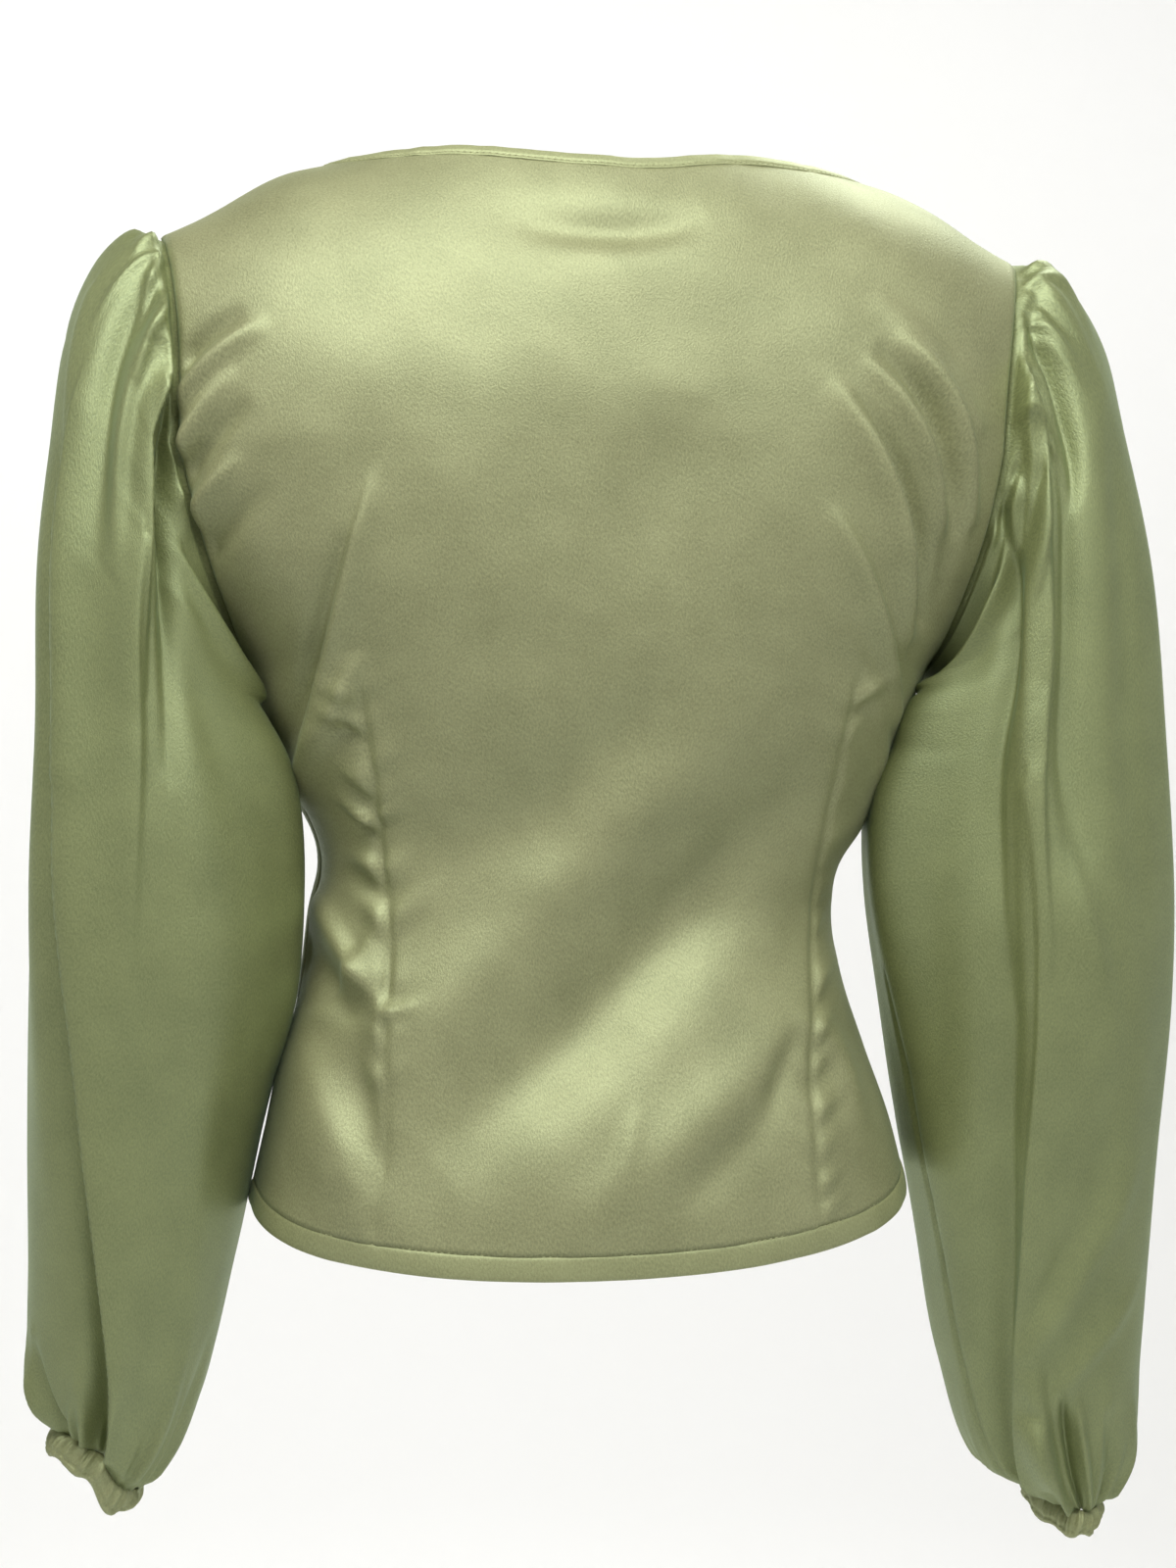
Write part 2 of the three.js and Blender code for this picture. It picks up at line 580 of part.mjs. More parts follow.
// ---------------------------------------------------------------- assembly
const neckRow = (side, u, edge) => belowNeckline(side, u, NECK_BAND * (1 - edge));
const hemRow = (side, u, edge) => aboveHem(u, HEM_BAND * edge);

const blouse = new THREE.Group();
blouse.name = "blouse";
blouse.add(panel("back", BACK, BACK_FOLDS, SAGE));
blouse.add(panel("front", FRONT, FRONT_FOLDS, SAGE));
blouse.add(sleeve("sleeve_left", SLEEVE_LEFT, LEFT_FOLDS, 1, SAGE_DARK));
blouse.add(sleeve("sleeve_right", SLEEVE_RIGHT, RIGHT_FOLDS, -1, SAGE_DARK));
blouse.add(cuff("cuff_left", SLEEVE_LEFT, 1, SAGE_LIGHT));
blouse.add(cuff("cuff_right", SLEEVE_RIGHT, -1, SAGE_LIGHT));
blouse.add(roundBand("neck_band", neckRow, BAND_RAISE, SAGE_LIGHT));
blouse.add(roundBand("hem_band", hemRow, BAND_RAISE, SAGE_LIGHT));

export default blouse;
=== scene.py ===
"""A sage-green satin blouse, hollow as worn and seen from behind."""

import math

import bpy
import numpy as np
from mathutils import Matrix, Vector


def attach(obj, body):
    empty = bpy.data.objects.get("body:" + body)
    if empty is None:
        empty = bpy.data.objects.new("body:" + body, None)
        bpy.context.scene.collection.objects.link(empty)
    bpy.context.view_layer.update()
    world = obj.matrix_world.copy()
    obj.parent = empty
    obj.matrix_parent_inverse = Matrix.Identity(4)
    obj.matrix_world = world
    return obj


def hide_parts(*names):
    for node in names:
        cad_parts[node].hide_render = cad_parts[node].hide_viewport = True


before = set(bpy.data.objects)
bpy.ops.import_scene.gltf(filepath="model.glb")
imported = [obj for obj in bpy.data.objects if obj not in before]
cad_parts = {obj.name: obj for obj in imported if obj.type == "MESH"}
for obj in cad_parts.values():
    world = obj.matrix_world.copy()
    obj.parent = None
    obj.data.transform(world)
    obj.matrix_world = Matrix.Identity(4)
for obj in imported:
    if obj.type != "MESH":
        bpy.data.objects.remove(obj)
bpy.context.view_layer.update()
MM = 0.001

# ---------------------------------------------------------------- the studio
# A camera on a stand behind the blouse and a little to the wearer's left, level with the ribs.
# A pale floor 1.35 m below the shoulders sweeps up into a round wall. Soft boxes light all of it.
STAND_AZIMUTH = math.radians(171)
STAND_ELEVATION = math.radians(0.75)
STAND_DISTANCE = 1.30
AIM = Vector((0.0006, 0.0, -0.2593))
ROLL = math.radians(0.122)
LENS = 64.28

toward_camera = Vector(
    (
        math.sin(STAND_AZIMUTH) * math.cos(STAND_ELEVATION),
        -math.cos(STAND_AZIMUTH) * math.cos(STAND_ELEVATION),
        math.sin(STAND_ELEVATION),
    )
)
camera = bpy.data.objects.new("camera", bpy.data.cameras.new("camera"))
camera.data.lens = LENS
camera.data.sensor_width = 36
turn = (-toward_camera).to_track_quat("-Z", "Y").to_matrix().to_4x4()
camera.matrix_world = (
    Matrix.Translation(AIM + STAND_DISTANCE * toward_camera) @ turn @ Matrix.Rotation(-ROLL, 4, "Z")
)
bpy.context.scene.collection.objects.link(camera)
bpy.context.scene.camera = camera
bpy.context.scene.view_settings.view_transform = "Standard"


def soft_box(name, place, aim, size, watts, tint):
    """A soft box at `place`, turned to face `aim`."""
    light = bpy.data.lights.new(name, "AREA")
    light.shape = "RECTANGLE"
    light.size, light.size_y = size
    light.energy = watts
    light.color = tint
    lamp = bpy.data.objects.new(name, light)
    lamp.location = place
    lamp.rotation_mode = "QUATERNION"
    lamp.rotation_quaternion = (Vector(aim) - Vector(place)).to_track_quat("-Z", "Y")
    bpy.context.scene.collection.objects.link(lamp)


CHEST = (0, 0, -0.2)
soft_box("key_above_back", (0.3, 1.02, 1.25), CHEST, (2.0, 1.0), 47, (1.0, 0.985, 0.95))
soft_box("side_fill", (-1.3, 1.3, 0.7), CHEST, (0.8, 0.8), 4, (0.96, 1.0, 0.97))
soft_box("key_above_front", (-0.9, -1.0, 1.3), CHEST, (0.7, 0.6), 17, (1.0, 0.985, 0.95))
soft_box("backdrop_light", (0, -1.5, 1.5), (0, -3.6, -0.2), (2.4, 1.0), 55, (1.0, 1.0, 1.0))

world = bpy.data.worlds.new("studio")
world.use_nodes = True
world.node_tree.nodes["Background"].inputs["Color"].default_value = (0.95, 0.97, 1.0, 1)
world.node_tree.nodes["Background"].inputs["Strength"].default_value = 0.05
bpy.context.scene.world = world

FLOOR_Z = -1.35
FLAT_REACH, SWEEP_RADIUS, WALL_TOP = 2.8, 1.2, 4.2
SWEEP_ROUND, SWEEP_STEPS = 64, 12  # spokes of the floor and wall, and rings of the sweep
floor_profile = [(1.5, 0.0), (FLAT_REACH, 0.0)]
for step in range(1, SWEEP_STEPS + 1):
    lean = math.radians(90 * step / SWEEP_STEPS)
    floor_profile.append(
        (FLAT_REACH + SWEEP_RADIUS * math.sin(lean), SWEEP_RADIUS * (1 - math.cos(lean)))
    )
floor_profile.append((FLAT_REACH + SWEEP_RADIUS, WALL_TOP))
floor_points = []
for reach, height in floor_profile:
    for spoke in range(SWEEP_ROUND):
        angle = 2 * math.pi * spoke / SWEEP_ROUND
        floor_points.append((reach * math.cos(angle), reach * math.sin(angle), FLOOR_Z + height))
floor_points.append((0, 0, FLOOR_Z))
floor_faces = []
for spoke in range(SWEEP_ROUND):
    beside = (spoke + 1) % SWEEP_ROUND
    floor_faces.append((len(floor_points) - 1, spoke, beside))
    for ring in range(len(floor_profile) - 1):
        low, high = ring * SWEEP_ROUND, (ring + 1) * SWEEP_ROUND
        floor_faces.append((low + spoke, high + spoke, high + beside, low + beside))
floor_mesh = bpy.data.meshes.new("floor")
floor_mesh.from_pydata(floor_points, [], floor_faces)
floor_mesh.polygons.foreach_set("use_smooth", [True] * len(floor_faces))
floor_paint = bpy.data.materials.new("pale_floor")
floor_paint.use_nodes = True
paint = floor_paint.node_tree.nodes["Principled BSDF"]
paint.inputs["Base Color"].default_value = (0.9, 0.9, 0.89, 1)
paint.inputs["Roughness"].default_value = 0.85
floor_mesh.materials.append(floor_paint)
floor = bpy.data.objects.new("floor", floor_mesh)
bpy.context.scene.collection.objects.link(floor)

# ---------------------------------------------------------------- the back
# One piece of satin cut from neck to hem, shaped to the waist by two long darts. Drag lines
# run across it to the hips and from the armholes, and the darts' stitching puckers the satin.


def with_columns(names, rows):
    """A table whose columns are read by name."""
    return dict(zip(names.split(), np.array(rows, dtype=float).T))


def read(table, name, where):
    """Column `name` at `where` along the table's first column, on a smooth curve."""
    at, value = next(iter(table.values())), table[name]
    where = np.asarray(where, dtype=float)
    slope = np.zeros(len(at))
    slope[1:-1] = (value[2:] - value[:-2]) / (at[2:] - at[:-2])
    slope[0] = (value[1] - value[0]) / (at[1] - at[0])
    slope[-1] = (value[-1] - value[-2]) / (at[-1] - at[-2])
    i = np.clip(np.searchsorted(at, where, side="right") - 1, 0, len(at) - 2)
    span = at[i + 1] - at[i]
    t = np.clip((where - at[i]) / span, 0, 1)
    bend = slope[i] * span * (1 - t) - slope[i + 1] * span * t
    return value[i] + (value[i + 1] - value[i]) * t * t * (3 - 2 * t) + t * (1 - t) * bend


def mix(a, b, t):
    return a + (b - a) * t


# The torso in millimetres, section by section: half width, depths, and lean to the left.
TORSO = with_columns(
    "z half front back lean",
    [
        (-490, 158, 112, 109, 4),
        (-450, 153, 111, 108, 5),
        (-415, 145, 108, 104, 5),
        (-380, 134, 102, 96, 6),
        (-345, 124.5, 97, 88, 8.5),
        (-318, 120.5, 95, 83, 9),
        (-298, 121, 97, 84, 3.5),
        (-280, 127.5, 101, 86, 0),
        (-245, 143.5, 115, 94, 2),
        (-206, 159, 126, 103, 1),
        (-160, 175, 123, 109, 3),
        (-110, 187, 112, 110, 4),
    ],
)
RIDGE = with_columns(
    "x z",
    [
        (0, 52),
        (60, 45),
        (119, 22.5),
        (140, 16),
        (160, 7.5),
        (180, -3.5),
        (199, -12.5),
    ],
)
HEM = with_columns(
    "across z",
    [
        (-1, -441),
        (-0.55, -459.5),
        (0, -470),
        (0.55, -464.5),
        (1, -449),
    ],
)
BACK = dict(sign=1, depth="back", armhole=60, slope=0, neck_angle=51.5, neck_power=1.4)
FRONT = dict(sign=-1, depth="front", armhole=56, slope=0.3, neck_angle=24, neck_power=1.8)
NECK_HALF, TIP_HALF, TIP_LEAN = 119, 199, -3  # from the middle to the neck's corner and the tip
BLADE_Z, ARMPIT_Z = -110, -206  # heights of the shoulder blades and of the armpits
SECTION_POWER = 2.15  # 2 for an ellipse, and more for a squarer section
AT_ARMPIT, AT_BLADE, AT_TIP = 0.46, 0.66, 0.84  # how far up a panel each of them is
NECK_BAND, HEM_BAND = 7.5, 11  # widths of the bands
TUCK = 0.4  # how far a panel reaches under its bands


def torso_section(side, z):
    """The body's section at height `z`: its reach, depth, lean and last angle."""
    depth = read(TORSO, side["depth"], z)
    up = np.clip((z - ARMPIT_Z) / (BLADE_Z - ARMPIT_Z), 0, 1)
    armhole_depth = side["armhole"] * np.sqrt(1 - (1 - up) ** 2)
    share = (1 - (armhole_depth / depth) ** SECTION_POWER) ** (1 / SECTION_POWER)
    last_angle = np.arcsin(np.minimum(share, 1) ** (SECTION_POWER / 2))
    return read(TORSO, "half", z) / share, depth, read(TORSO, "lean", z), last_angle


def body_point(side, u, z):
    """A point below the shoulder blades, a share `u` of the way from the centre to the side."""
    reach, depth, lean, last_angle = torso_section(side, z)
    angle = u * last_angle
    power = 2 / SECTION_POWER
    x = lean + reach * np.sign(np.sin(angle)) * np.abs(np.sin(angle)) ** power
    y = depth * np.sign(np.cos(angle)) * np.abs(np.cos(angle)) ** power
    return np.stack(np.broadcast_arrays(x, side["sign"] * y, z), axis=-1)


def shoulder_point(side, a, up):
    """A point above the shoulder blades: `a` across, and `up` degrees over the shoulder."""
    base = body_point(side, a, BLADE_Z + 0 * a)
    half, lean = read(TORSO, "half", BLADE_Z), read(TORSO, "lean", BLADE_Z)
    climb, forward = np.sin(np.radians(up)), np.cos(np.radians(up))
    x = mix(lean, TIP_LEAN, climb) + (base[..., 0] - lean) * mix(half, TIP_HALF, climb**2) / half
    y = base[..., 1] * forward * (1 - side["slope"] * climb * forward)
    z = mix(BLADE_Z, read(RIDGE, "z", np.abs(x)), climb)
    return np.stack(np.broadcast_arrays(x, y, z), axis=-1)


def panel_point(side, u, v):
    """Where a panel's cloth is at `u` across, -1 to 1, and `v` up, 0 to 1."""
    u, v = np.broadcast_arrays(np.asarray(u, float), np.asarray(v, float))
    lower = mix(read(HEM, "z", u), ARMPIT_Z, np.clip(v / AT_ARMPIT, 0, 1))
    upper = mix(ARMPIT_Z, BLADE_Z, np.clip((v - AT_ARMPIT) / (AT_BLADE - AT_ARMPIT), 0, 1))
    below = body_point(side, u, np.where(v <= AT_ARMPIT, lower, upper))
    centre_up = side["neck_angle"] * np.clip((v - AT_BLADE) / (1 - AT_BLADE), 0, 1)
    edge_up = 90 * np.clip((v - AT_BLADE) / (AT_TIP - AT_BLADE), 0, 1)
    up_seam = np.clip((v - AT_TIP) / (1 - AT_TIP), 0, 1)
    edge_x = mix(TIP_HALF, NECK_HALF, up_seam)
    reach, _, _, last_angle = torso_section(side, BLADE_Z)
    at_blade = edge_x / TIP_HALF * read(TORSO, "half", BLADE_Z)
    share_under = np.arcsin((at_blade / reach) ** (SECTION_POWER / 2)) / last_angle
    rounded = mix(u, np.sin(math.pi / 2 * u), up_seam)
    up = mix(centre_up, edge_up, np.abs(u) ** side["neck_power"])
    above = shoulder_point(side, rounded * share_under, up)
    return np.where((v <= AT_BLADE)[..., None], below, above)


def below_neckline(side, u, distance):
    """The v of the row `distance` below the neckline: square to it, but along the seams."""
    probe, steps = 1e-3, 4
    beside = np.where(u > 0, u - probe, u + probe)
    from_seam = np.clip((1 - np.abs(u)) / 0.2, 0, 1)
    v = np.ones_like(u)
    for _ in range(steps):
        here = panel_point(side, u, v)
        down = here - panel_point(side, u, v - probe)
        across = here - panel_point(side, beside, v)
        across /= np.linalg.norm(across, axis=-1, keepdims=True)
        square = np.linalg.norm(np.cross(down, across), axis=-1)
        v = v - distance / steps / mix(np.linalg.norm(down, axis=-1), square, from_seam) * probe
    return v


def above_hem(u, distance):
    """The v of the row `distance` above the hem."""
    return AT_ARMPIT * distance / (ARMPIT_Z - read(HEM, "z", u))


CREASE = "x0 z0 x1 z1 x2 z2 high0 high1 high2 plus minus lean"


def creases(across, along, table):
    """
    How far soft creases lift a cloth, and how far they push it aside. Each is listed downward,
    on a bent line through three places, with its height at each. It falls away over its own
    width on its plus side, of greater x, and its minus side, and its crest leans to plus.
    """
    lift, push = np.zeros(across.shape), np.zeros(across.shape)
    marks = np.linspace(0, 1, 15)
    for row in range(len(table["plus"])):
        c = {name: column[row] for name, column in table.items()}
        line = []
        for k in "xz":
            bow = 2 * c[k + "1"] - (c[k + "0"] + c[k + "2"]) / 2
            line.append(
                (1 - marks) ** 2 * c[k + "0"]
                + 2 * marks * (1 - marks) * bow
                + marks**2 * c[k + "2"]
            )
        reach = 2.6 * max(c["plus"], c["minus"])
        near = (across > line[0].min() - reach) & (across < line[0].max() + reach)
        near &= (along > line[1].min() - reach) & (along < line[1].max() + reach)
        x, z = across[near], along[near]
        best, aside, where = np.full(x.shape, 1e9), np.zeros(x.shape), np.zeros(x.shape)
        for i in range(len(marks) - 1):
            run_x, run_z = line[0][i + 1] - line[0][i], line[1][i + 1] - line[1][i]
            off_x, off_z = x - line[0][i], z - line[1][i]
            t = np.clip((off_x * run_x + off_z * run_z) / (run_x**2 + run_z**2), 0, 1)
            far = np.hypot(off_x - t * run_x, off_z - t * run_z)
            closer = far < best
            best = np.where(closer, far, best)
            aside = np.where(closer, np.sign(run_x * off_z - run_z * off_x), aside)
            where = np.where(closer, mix(marks[i], marks[i + 1], t), where)
        high = c["high0"] * (1 - where) * (1 - 2 * where) + c["high2"] * where * (2 * where - 1)
        high += 4 * c["high1"] * where * (1 - where)
        wide = np.where(aside > 0, c["plus"], c["minus"])
        swell = high * np.exp(-((best / wide) ** 2))
        lift[near] += swell
        push[near] += c["lean"] * swell / max(abs(c["high1"]), 0.1)
    return lift, push


def unevenness(across, along, seed, size, high):
    """Slow, shallow waves that no cloth is without."""
    waves = np.random.default_rng(seed)
    lift = np.zeros(across.shape)
    for _ in range(7):
        angle, phase = waves.uniform(0, math.pi), waves.uniform(0, 2 * math.pi)
        length = size * waves.uniform(0.7, 1.6)
        run = across * math.cos(angle) + along * math.sin(angle)
        lift += np.sin(2 * math.pi * run / length + phase)
    return lift * high / 2.6


def directions(points, closed_round, hand):
    """The way across the cloth and the way out of it, at each place of a grid."""
    if closed_round:
        across = np.roll(points, -1, axis=1) - np.roll(points, 1, axis=1)
    else:
        across = np.gradient(points, axis=1)
    out = np.cross(across, np.gradient(points, axis=0)) * hand
    across /= np.maximum(np.linalg.norm(across, axis=-1, keepdims=True), 1e-9)
    return across, out / np.maximum(np.linalg.norm(out, axis=-1, keepdims=True), 1e-9)


def sew(name, points, thickness, closed_round, hand, cloth, node):
    """
    Makes a piece from its outer face, a grid of places in millimetres: a thin closed wall with
    the cloth's wrong side inside, in the place of the frame's `node`.
    """
    rows, columns = points.shape[:2]
    inner = points - directions(points, closed_round, hand)[1] * thickness
    vertices = np.concatenate([points.reshape(-1, 3), inner.reshape(-1, 3)]) * MM
    spans = columns if closed_round else columns - 1
    r, c = [index.ravel() for index in np.mgrid[0 : rows - 1, 0:spans]]
    beside = (c + 1) % columns
    low, low_beside = r * columns + c, r * columns + beside
    high, high_beside = low + columns, low_beside + columns
    inside, top = rows * columns, (rows - 1) * columns
    face = np.stack([low, low_beside, high_beside, high], axis=1)
    lining = np.stack([low, high, high_beside, low_beside], axis=1) + inside
    c = np.arange(spans)
    beside = (c + 1) % columns
    rims = [
        np.stack([c, c + inside, beside + inside, beside], axis=1),
        np.stack([top + c, top + beside, top + beside + inside, top + c + inside], axis=1),
    ]
    if not closed_round:
        r = np.arange(rows - 1) * columns
        end = r + columns - 1
        rims.append(np.stack([r, r + columns, r + columns + inside, r + inside], axis=1))
        rims.append(np.stack([end, end + inside, end + columns + inside, end + columns], axis=1))
    quads = np.concatenate([face, lining, *rims])
    if hand < 0:
        quads = quads[:, ::-1]
    mesh = bpy.data.meshes.new(name)
    mesh.from_pydata(vertices.tolist(), [], quads.tolist())
    mesh.polygons.foreach_set("use_smooth", [True] * len(quads))
    sides = [0] * len(face) + [1] * len(lining) + [0] * (len(quads) - 2 * len(face))
    mesh.polygons.foreach_set("material_index", sides)
    widths = np.linalg.norm(np.diff(points, axis=1), axis=-1).mean(axis=0)
    heights = np.linalg.norm(np.diff(points, axis=0), axis=-1).mean(axis=1)
    flat_x = np.concatenate([[0], np.cumsum(widths)]) * MM
    flat_z = np.concatenate([[0], np.cumsum(heights)]) * MM
    flat = np.stack(np.broadcast_arrays(flat_x[None, :], flat_z[:, None]), axis=-1)
    flat = np.tile(flat.reshape(-1, 2), (2, 1))
    corner = np.empty(len(mesh.loops), dtype=np.int32)
    mesh.loops.foreach_get("vertex_index", corner)
    weave = mesh.uv_layers.new(name="weave")
    weave.uv.foreach_set("vector", flat[corner].ravel().astype(np.float32))
    for material in cloth:
        mesh.materials.append(material)
    piece = bpy.data.objects.new(name, mesh)
    bpy.context.scene.collection.objects.link(piece)
    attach(piece, "root")
    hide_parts(node)
    return piece


def satin(name, shade, light, roughness, shine, crepe, grain, lay):
    """Crepe-back satin: a fine broken grain laid at an angle, and a soft milky sheen."""
    material = bpy.data.materials.new(name)
    material.use_nodes = True
    nodes, links = material.node_tree.nodes, material.node_tree.links
    shader = nodes["Principled BSDF"]
    place = nodes.new("ShaderNodeTexCoord")

    def grains(scale, stretch, detail, angle):
        mapping = nodes.new("ShaderNodeMapping")
        mapping.inputs["Rotation"].default_value = (0, 0, angle)
        mapping.inputs["Scale"].default_value = (scale, scale * stretch, scale)
        noise = nodes.new("ShaderNodeTexNoise")
        noise.inputs["Scale"].default_value = 1
        noise.inputs["Detail"].default_value = detail
        noise.inputs["Roughness"].default_value = 0.6
        links.new(place.outputs["UV"], mapping.inputs["Vector"])
        links.new(mapping.outputs["Vector"], noise.inputs["Vector"])
        return noise.outputs["Fac"]

    fine = grains(1150, 0.6, 3, lay)
    broad = grains(30, 1, 3, 0)
    both = nodes.new("ShaderNodeMix")
    both.data_type = "FLOAT"
    both.inputs["Factor"].default_value = 0.3
    links.new(fine, both.inputs["A"])
    links.new(broad, both.inputs["B"])
    ramp = nodes.new("ShaderNodeValToRGB")
    ramp.color_ramp.elements[0].position = 0.5 - grain
    ramp.color_ramp.elements[1].position = 0.5 + grain
    ramp.color_ramp.elements[0].color = (*shade, 1)
    ramp.color_ramp.elements[1].color = (*light, 1)
    links.new(both.outputs["Result"], ramp.inputs["Fac"])
    links.new(ramp.outputs["Color"], shader.inputs["Base Color"])
    shader.inputs["Roughness"].default_value = roughness
    shader.inputs["Metallic"].default_value = 0.15
    shader.inputs["IOR"].default_value = shine
    shader.inputs["Specular Tint"].default_value = (0.82, 1.0, 0.64, 1)
    shader.inputs["Sheen Weight"].default_value = 0.09
    shader.inputs["Sheen Roughness"].default_value = 0.35
    shader.inputs["Sheen Tint"].default_value = (0.55, 0.92, 0.78, 1)
    bump = nodes.new("ShaderNodeBump")
    bump.inputs["Strength"].default_value = crepe
    bump.inputs["Distance"].default_value = 0.0003
    links.new(fine, bump.inputs["Height"])
    links.new(bump.outputs["Normal"], shader.inputs["Normal"])
    return material


body_satin = satin(
    "body_satin", (0.182, 0.18, 0.088), (0.335, 0.333, 0.182), 0.52, 2.2, 0.85, 0.16, 0.35
)
wrong_side = satin(
    "wrong_side", (0.16, 0.165, 0.075), (0.25, 0.26, 0.13), 0.7, 1.6, 0.8, 0.16, 0.35
)

BACK_CREASES = with_columns(
    CREASE,
    [
        # the dent under the neck band
        (-40, -12, 2, -20, 46, -14, -0.5, -4.2, -0.5, 9, 8, 0),
        (-70, -30, 0, -36, 70, -30, 0, 1.4, 0, 14, 14, 0),
        # from the wearer's left armhole
        (150, -60, 170, -72, 191, -95, 0.2, 5.5, 7.0, 4.4, 4.6, 0),
        (164, -80, 177, -94, 189, -114, 0.2, 4.5, 6.0, 3.6, 4.0, 0),
        (160, -54, 176, -64, 194, -82, -0.1, -4.0, -6.0, 4.5, 4.5, 0),
        (158, -94, 172, -106, 187, -126, 0.2, -4.5, -6.0, 5, 5, 0),
        (162, -118, 174, -128, 184, -144, 0.3, 4.6, 6.5, 3.6, 5, 0),
        (150, -128, 165, -144, 178, -160, 0.2, -3.4, -5.0, 6, 6, 0),
        # from the wearer's right armhole
        (-112, -44, -140, -66, -164, -98, 0.2, 3.2, 2.4, 7, 5, 0),
        (-122, -60, -150, -92, -162, -140, 0.8, 8.0, 2.4, 7, 3.6, 0),
        (-112, -66, -141, -98, -154, -144, 0.2, -6.6, -3.0, 4, 5, 0),
        (-106, -72, -132, -102, -147, -144, 0.4, 6.6, 2.0, 5, 3.4, 0),
        (-90, -82, -119, -128, -134, -192, 0.6, 7.6, 3.4, 7, 3.6, 0),
        (-100, -88, -129, -130, -142, -186, 0.2, -6.8, -3.4, 3.8, 4.5, 0),
        (-90, -138, -112, -174, -134, -226, 0.4, 6.2, 4.0, 6.5, 3.0, 0),
        (-98, -190, -122, -226, -134, -268, 0.2, 2.4, 1.0, 5, 5, 0),
        (-150, -140, -150, -168, -144, -196, 0.2, -2.4, -0.4, 6, 6, 0),
        # the long ridge from the wearer's left dart to the armpit
        (108, -126, 122, -180, 138, -262, 0.8, 6.6, 3.6, 2.0, 7, 0),
        (118, -150, 131, -196, 144, -248, 0.2, -4.4, -2.0, 5, 6, 0),
        (113, -200, 119, -222, 130, -244, 0.5, 7.0, 1.0, 6, 4, 0),
        # drag lines across the back
        (-62, -214, 8, -286, 96, -372, 0.6, 5.2, 4.4, 18, 17, 0),
        (-40, -196, 22, -258, 84, -306, 0.4, -2.4, 0.4, 15, 15, 0),
        (-92, -250, -14, -332, 84, -420, 0.8, -12.5, -3.5, 20, 22, 0),
        (-104, -344, -50, -392, 12, -440, 0.8, 4.6, 2.0, 15, 15, 0),
        (-84, -380, -50, -414, -20, -440, 0.3, -2.4, -0.6, 9, 10, 0),
        (-24, -90, -6, -140, 14, -186, 0.3, -2.4, -0.3, 20, 18, 0),
        (40, -60, 66, -120, 74, -180, 0.3, 2.2, 0.3, 22, 22, 0),
        (-4, -396, 2, -416, 8, -434, 0.3, 2.2, 0.4, 2.2, 6, 0),
        # crossed folds over the wearer's left hip, beside the dart
        (130, -306, 114, -335, 98, -358, 0.8, 5.0, 3.0, 6, 3.6, 0),
        (102, -316, 112, -342, 132, -366, 0.6, 3.8, 1.0, 4, 6, 0),
        (134, -322, 124, -346, 112, -362, 0.3, -4.5, -1.5, 7, 6, 0),
        (137, -366, 126, -402, 114, -436, 1.5, 6.0, 2.4, 18, 9, 0),
        (112, -366, 110, -396, 104, -430, 0.3, -3.0, -0.5, 7, 5, 0),
        (104, -357, 95, -358, 85, -354, 0.8, 2.8, 0.6, 2.6, 3.4, 0),
        # over the right hip
        (-90, -364, -104, -382, -114, -414, 0.6, 4.2, 0.6, 7, 8, 0),
        (-84, -366, -72, -384, -64, -404, 0.4, -3.2, -0.4, 5, 6, 0),
        (-106, -300, -118, -330, -136, -356, 0.3, 2.6, 0.4, 6, 7, 0),
    ],
)
DART_COLUMNS = "z x deep pucker"  # the stitched line, its valley, and the puckers beside it
DART_LEFT = with_columns(
    DART_COLUMNS,
    [
        (-456, 108, 0.4, 0.2),
        (-444, 107, 0.9, 0.5),
        (-400, 101, 1.0, 0.6),
        (-369, 99, 1.4, 2.4),
        (-344, 98, 1.8, 2.6),
        (-301, 99, 1.8, 3.6),
        (-258, 105, 1.6, 3.6),
        (-216, 113, 0.9, 2.6),
        (-200, 115, 0, 0),
    ],
)
DART_RIGHT = with_columns(
    DART_COLUMNS,
    [
        (-456, -88, 0.4, 0.4),
        (-448, -88, 0.8, 1.2),
        (-400, -87, 1.4, 1.9),
        (-372, -88, 1.5, 2.3),
        (-329, -94, 1.5, 0.8),
        (-285, -99, 1.4, 0.7),
        (-241, -103, 1.3, 1.8),
        (-215, -109, 0.8, 1.7),
        (-200, -112, 0, 0),
    ],
)
CLOTH = 0.5  # thickness of the satin
SEAM_DEEP, SEAM_WIDE = 2.6, 3.4  # the valley where a panel turns in to a seam
PUCKERS_FROM, PUCKERS_TO = -450.0, -206  # heights between which a dart's stitching puckers


def panel_grid(side, columns, below, armhole, shoulder, top):
    """The u and v of every place of a panel, from its hem to its neckline."""
    u = np.linspace(-1, 1, columns + 1) * -side["sign"]
    foot = above_hem(u, HEM_BAND - TUCK)
    head = below_neckline(side, u, NECK_BAND - TUCK)
    v = [mix(foot, AT_ARMPIT, i / below) for i in range(below)]
    for i in range(armhole):
        share = i / armhole
        climb = (share + 1 - math.cos(math.pi / 2 * share)) / 2
        v.append(mix(AT_ARMPIT, AT_BLADE, climb) + 0 * u)
    v += [mix(AT_BLADE, AT_TIP, i / shoulder) + 0 * u for i in range(shoulder)]
    v += [mix(AT_TIP, head, i / top) for i in range(top + 1)]
    return np.broadcast_to(u, (len(v), len(u))), np.array(v)


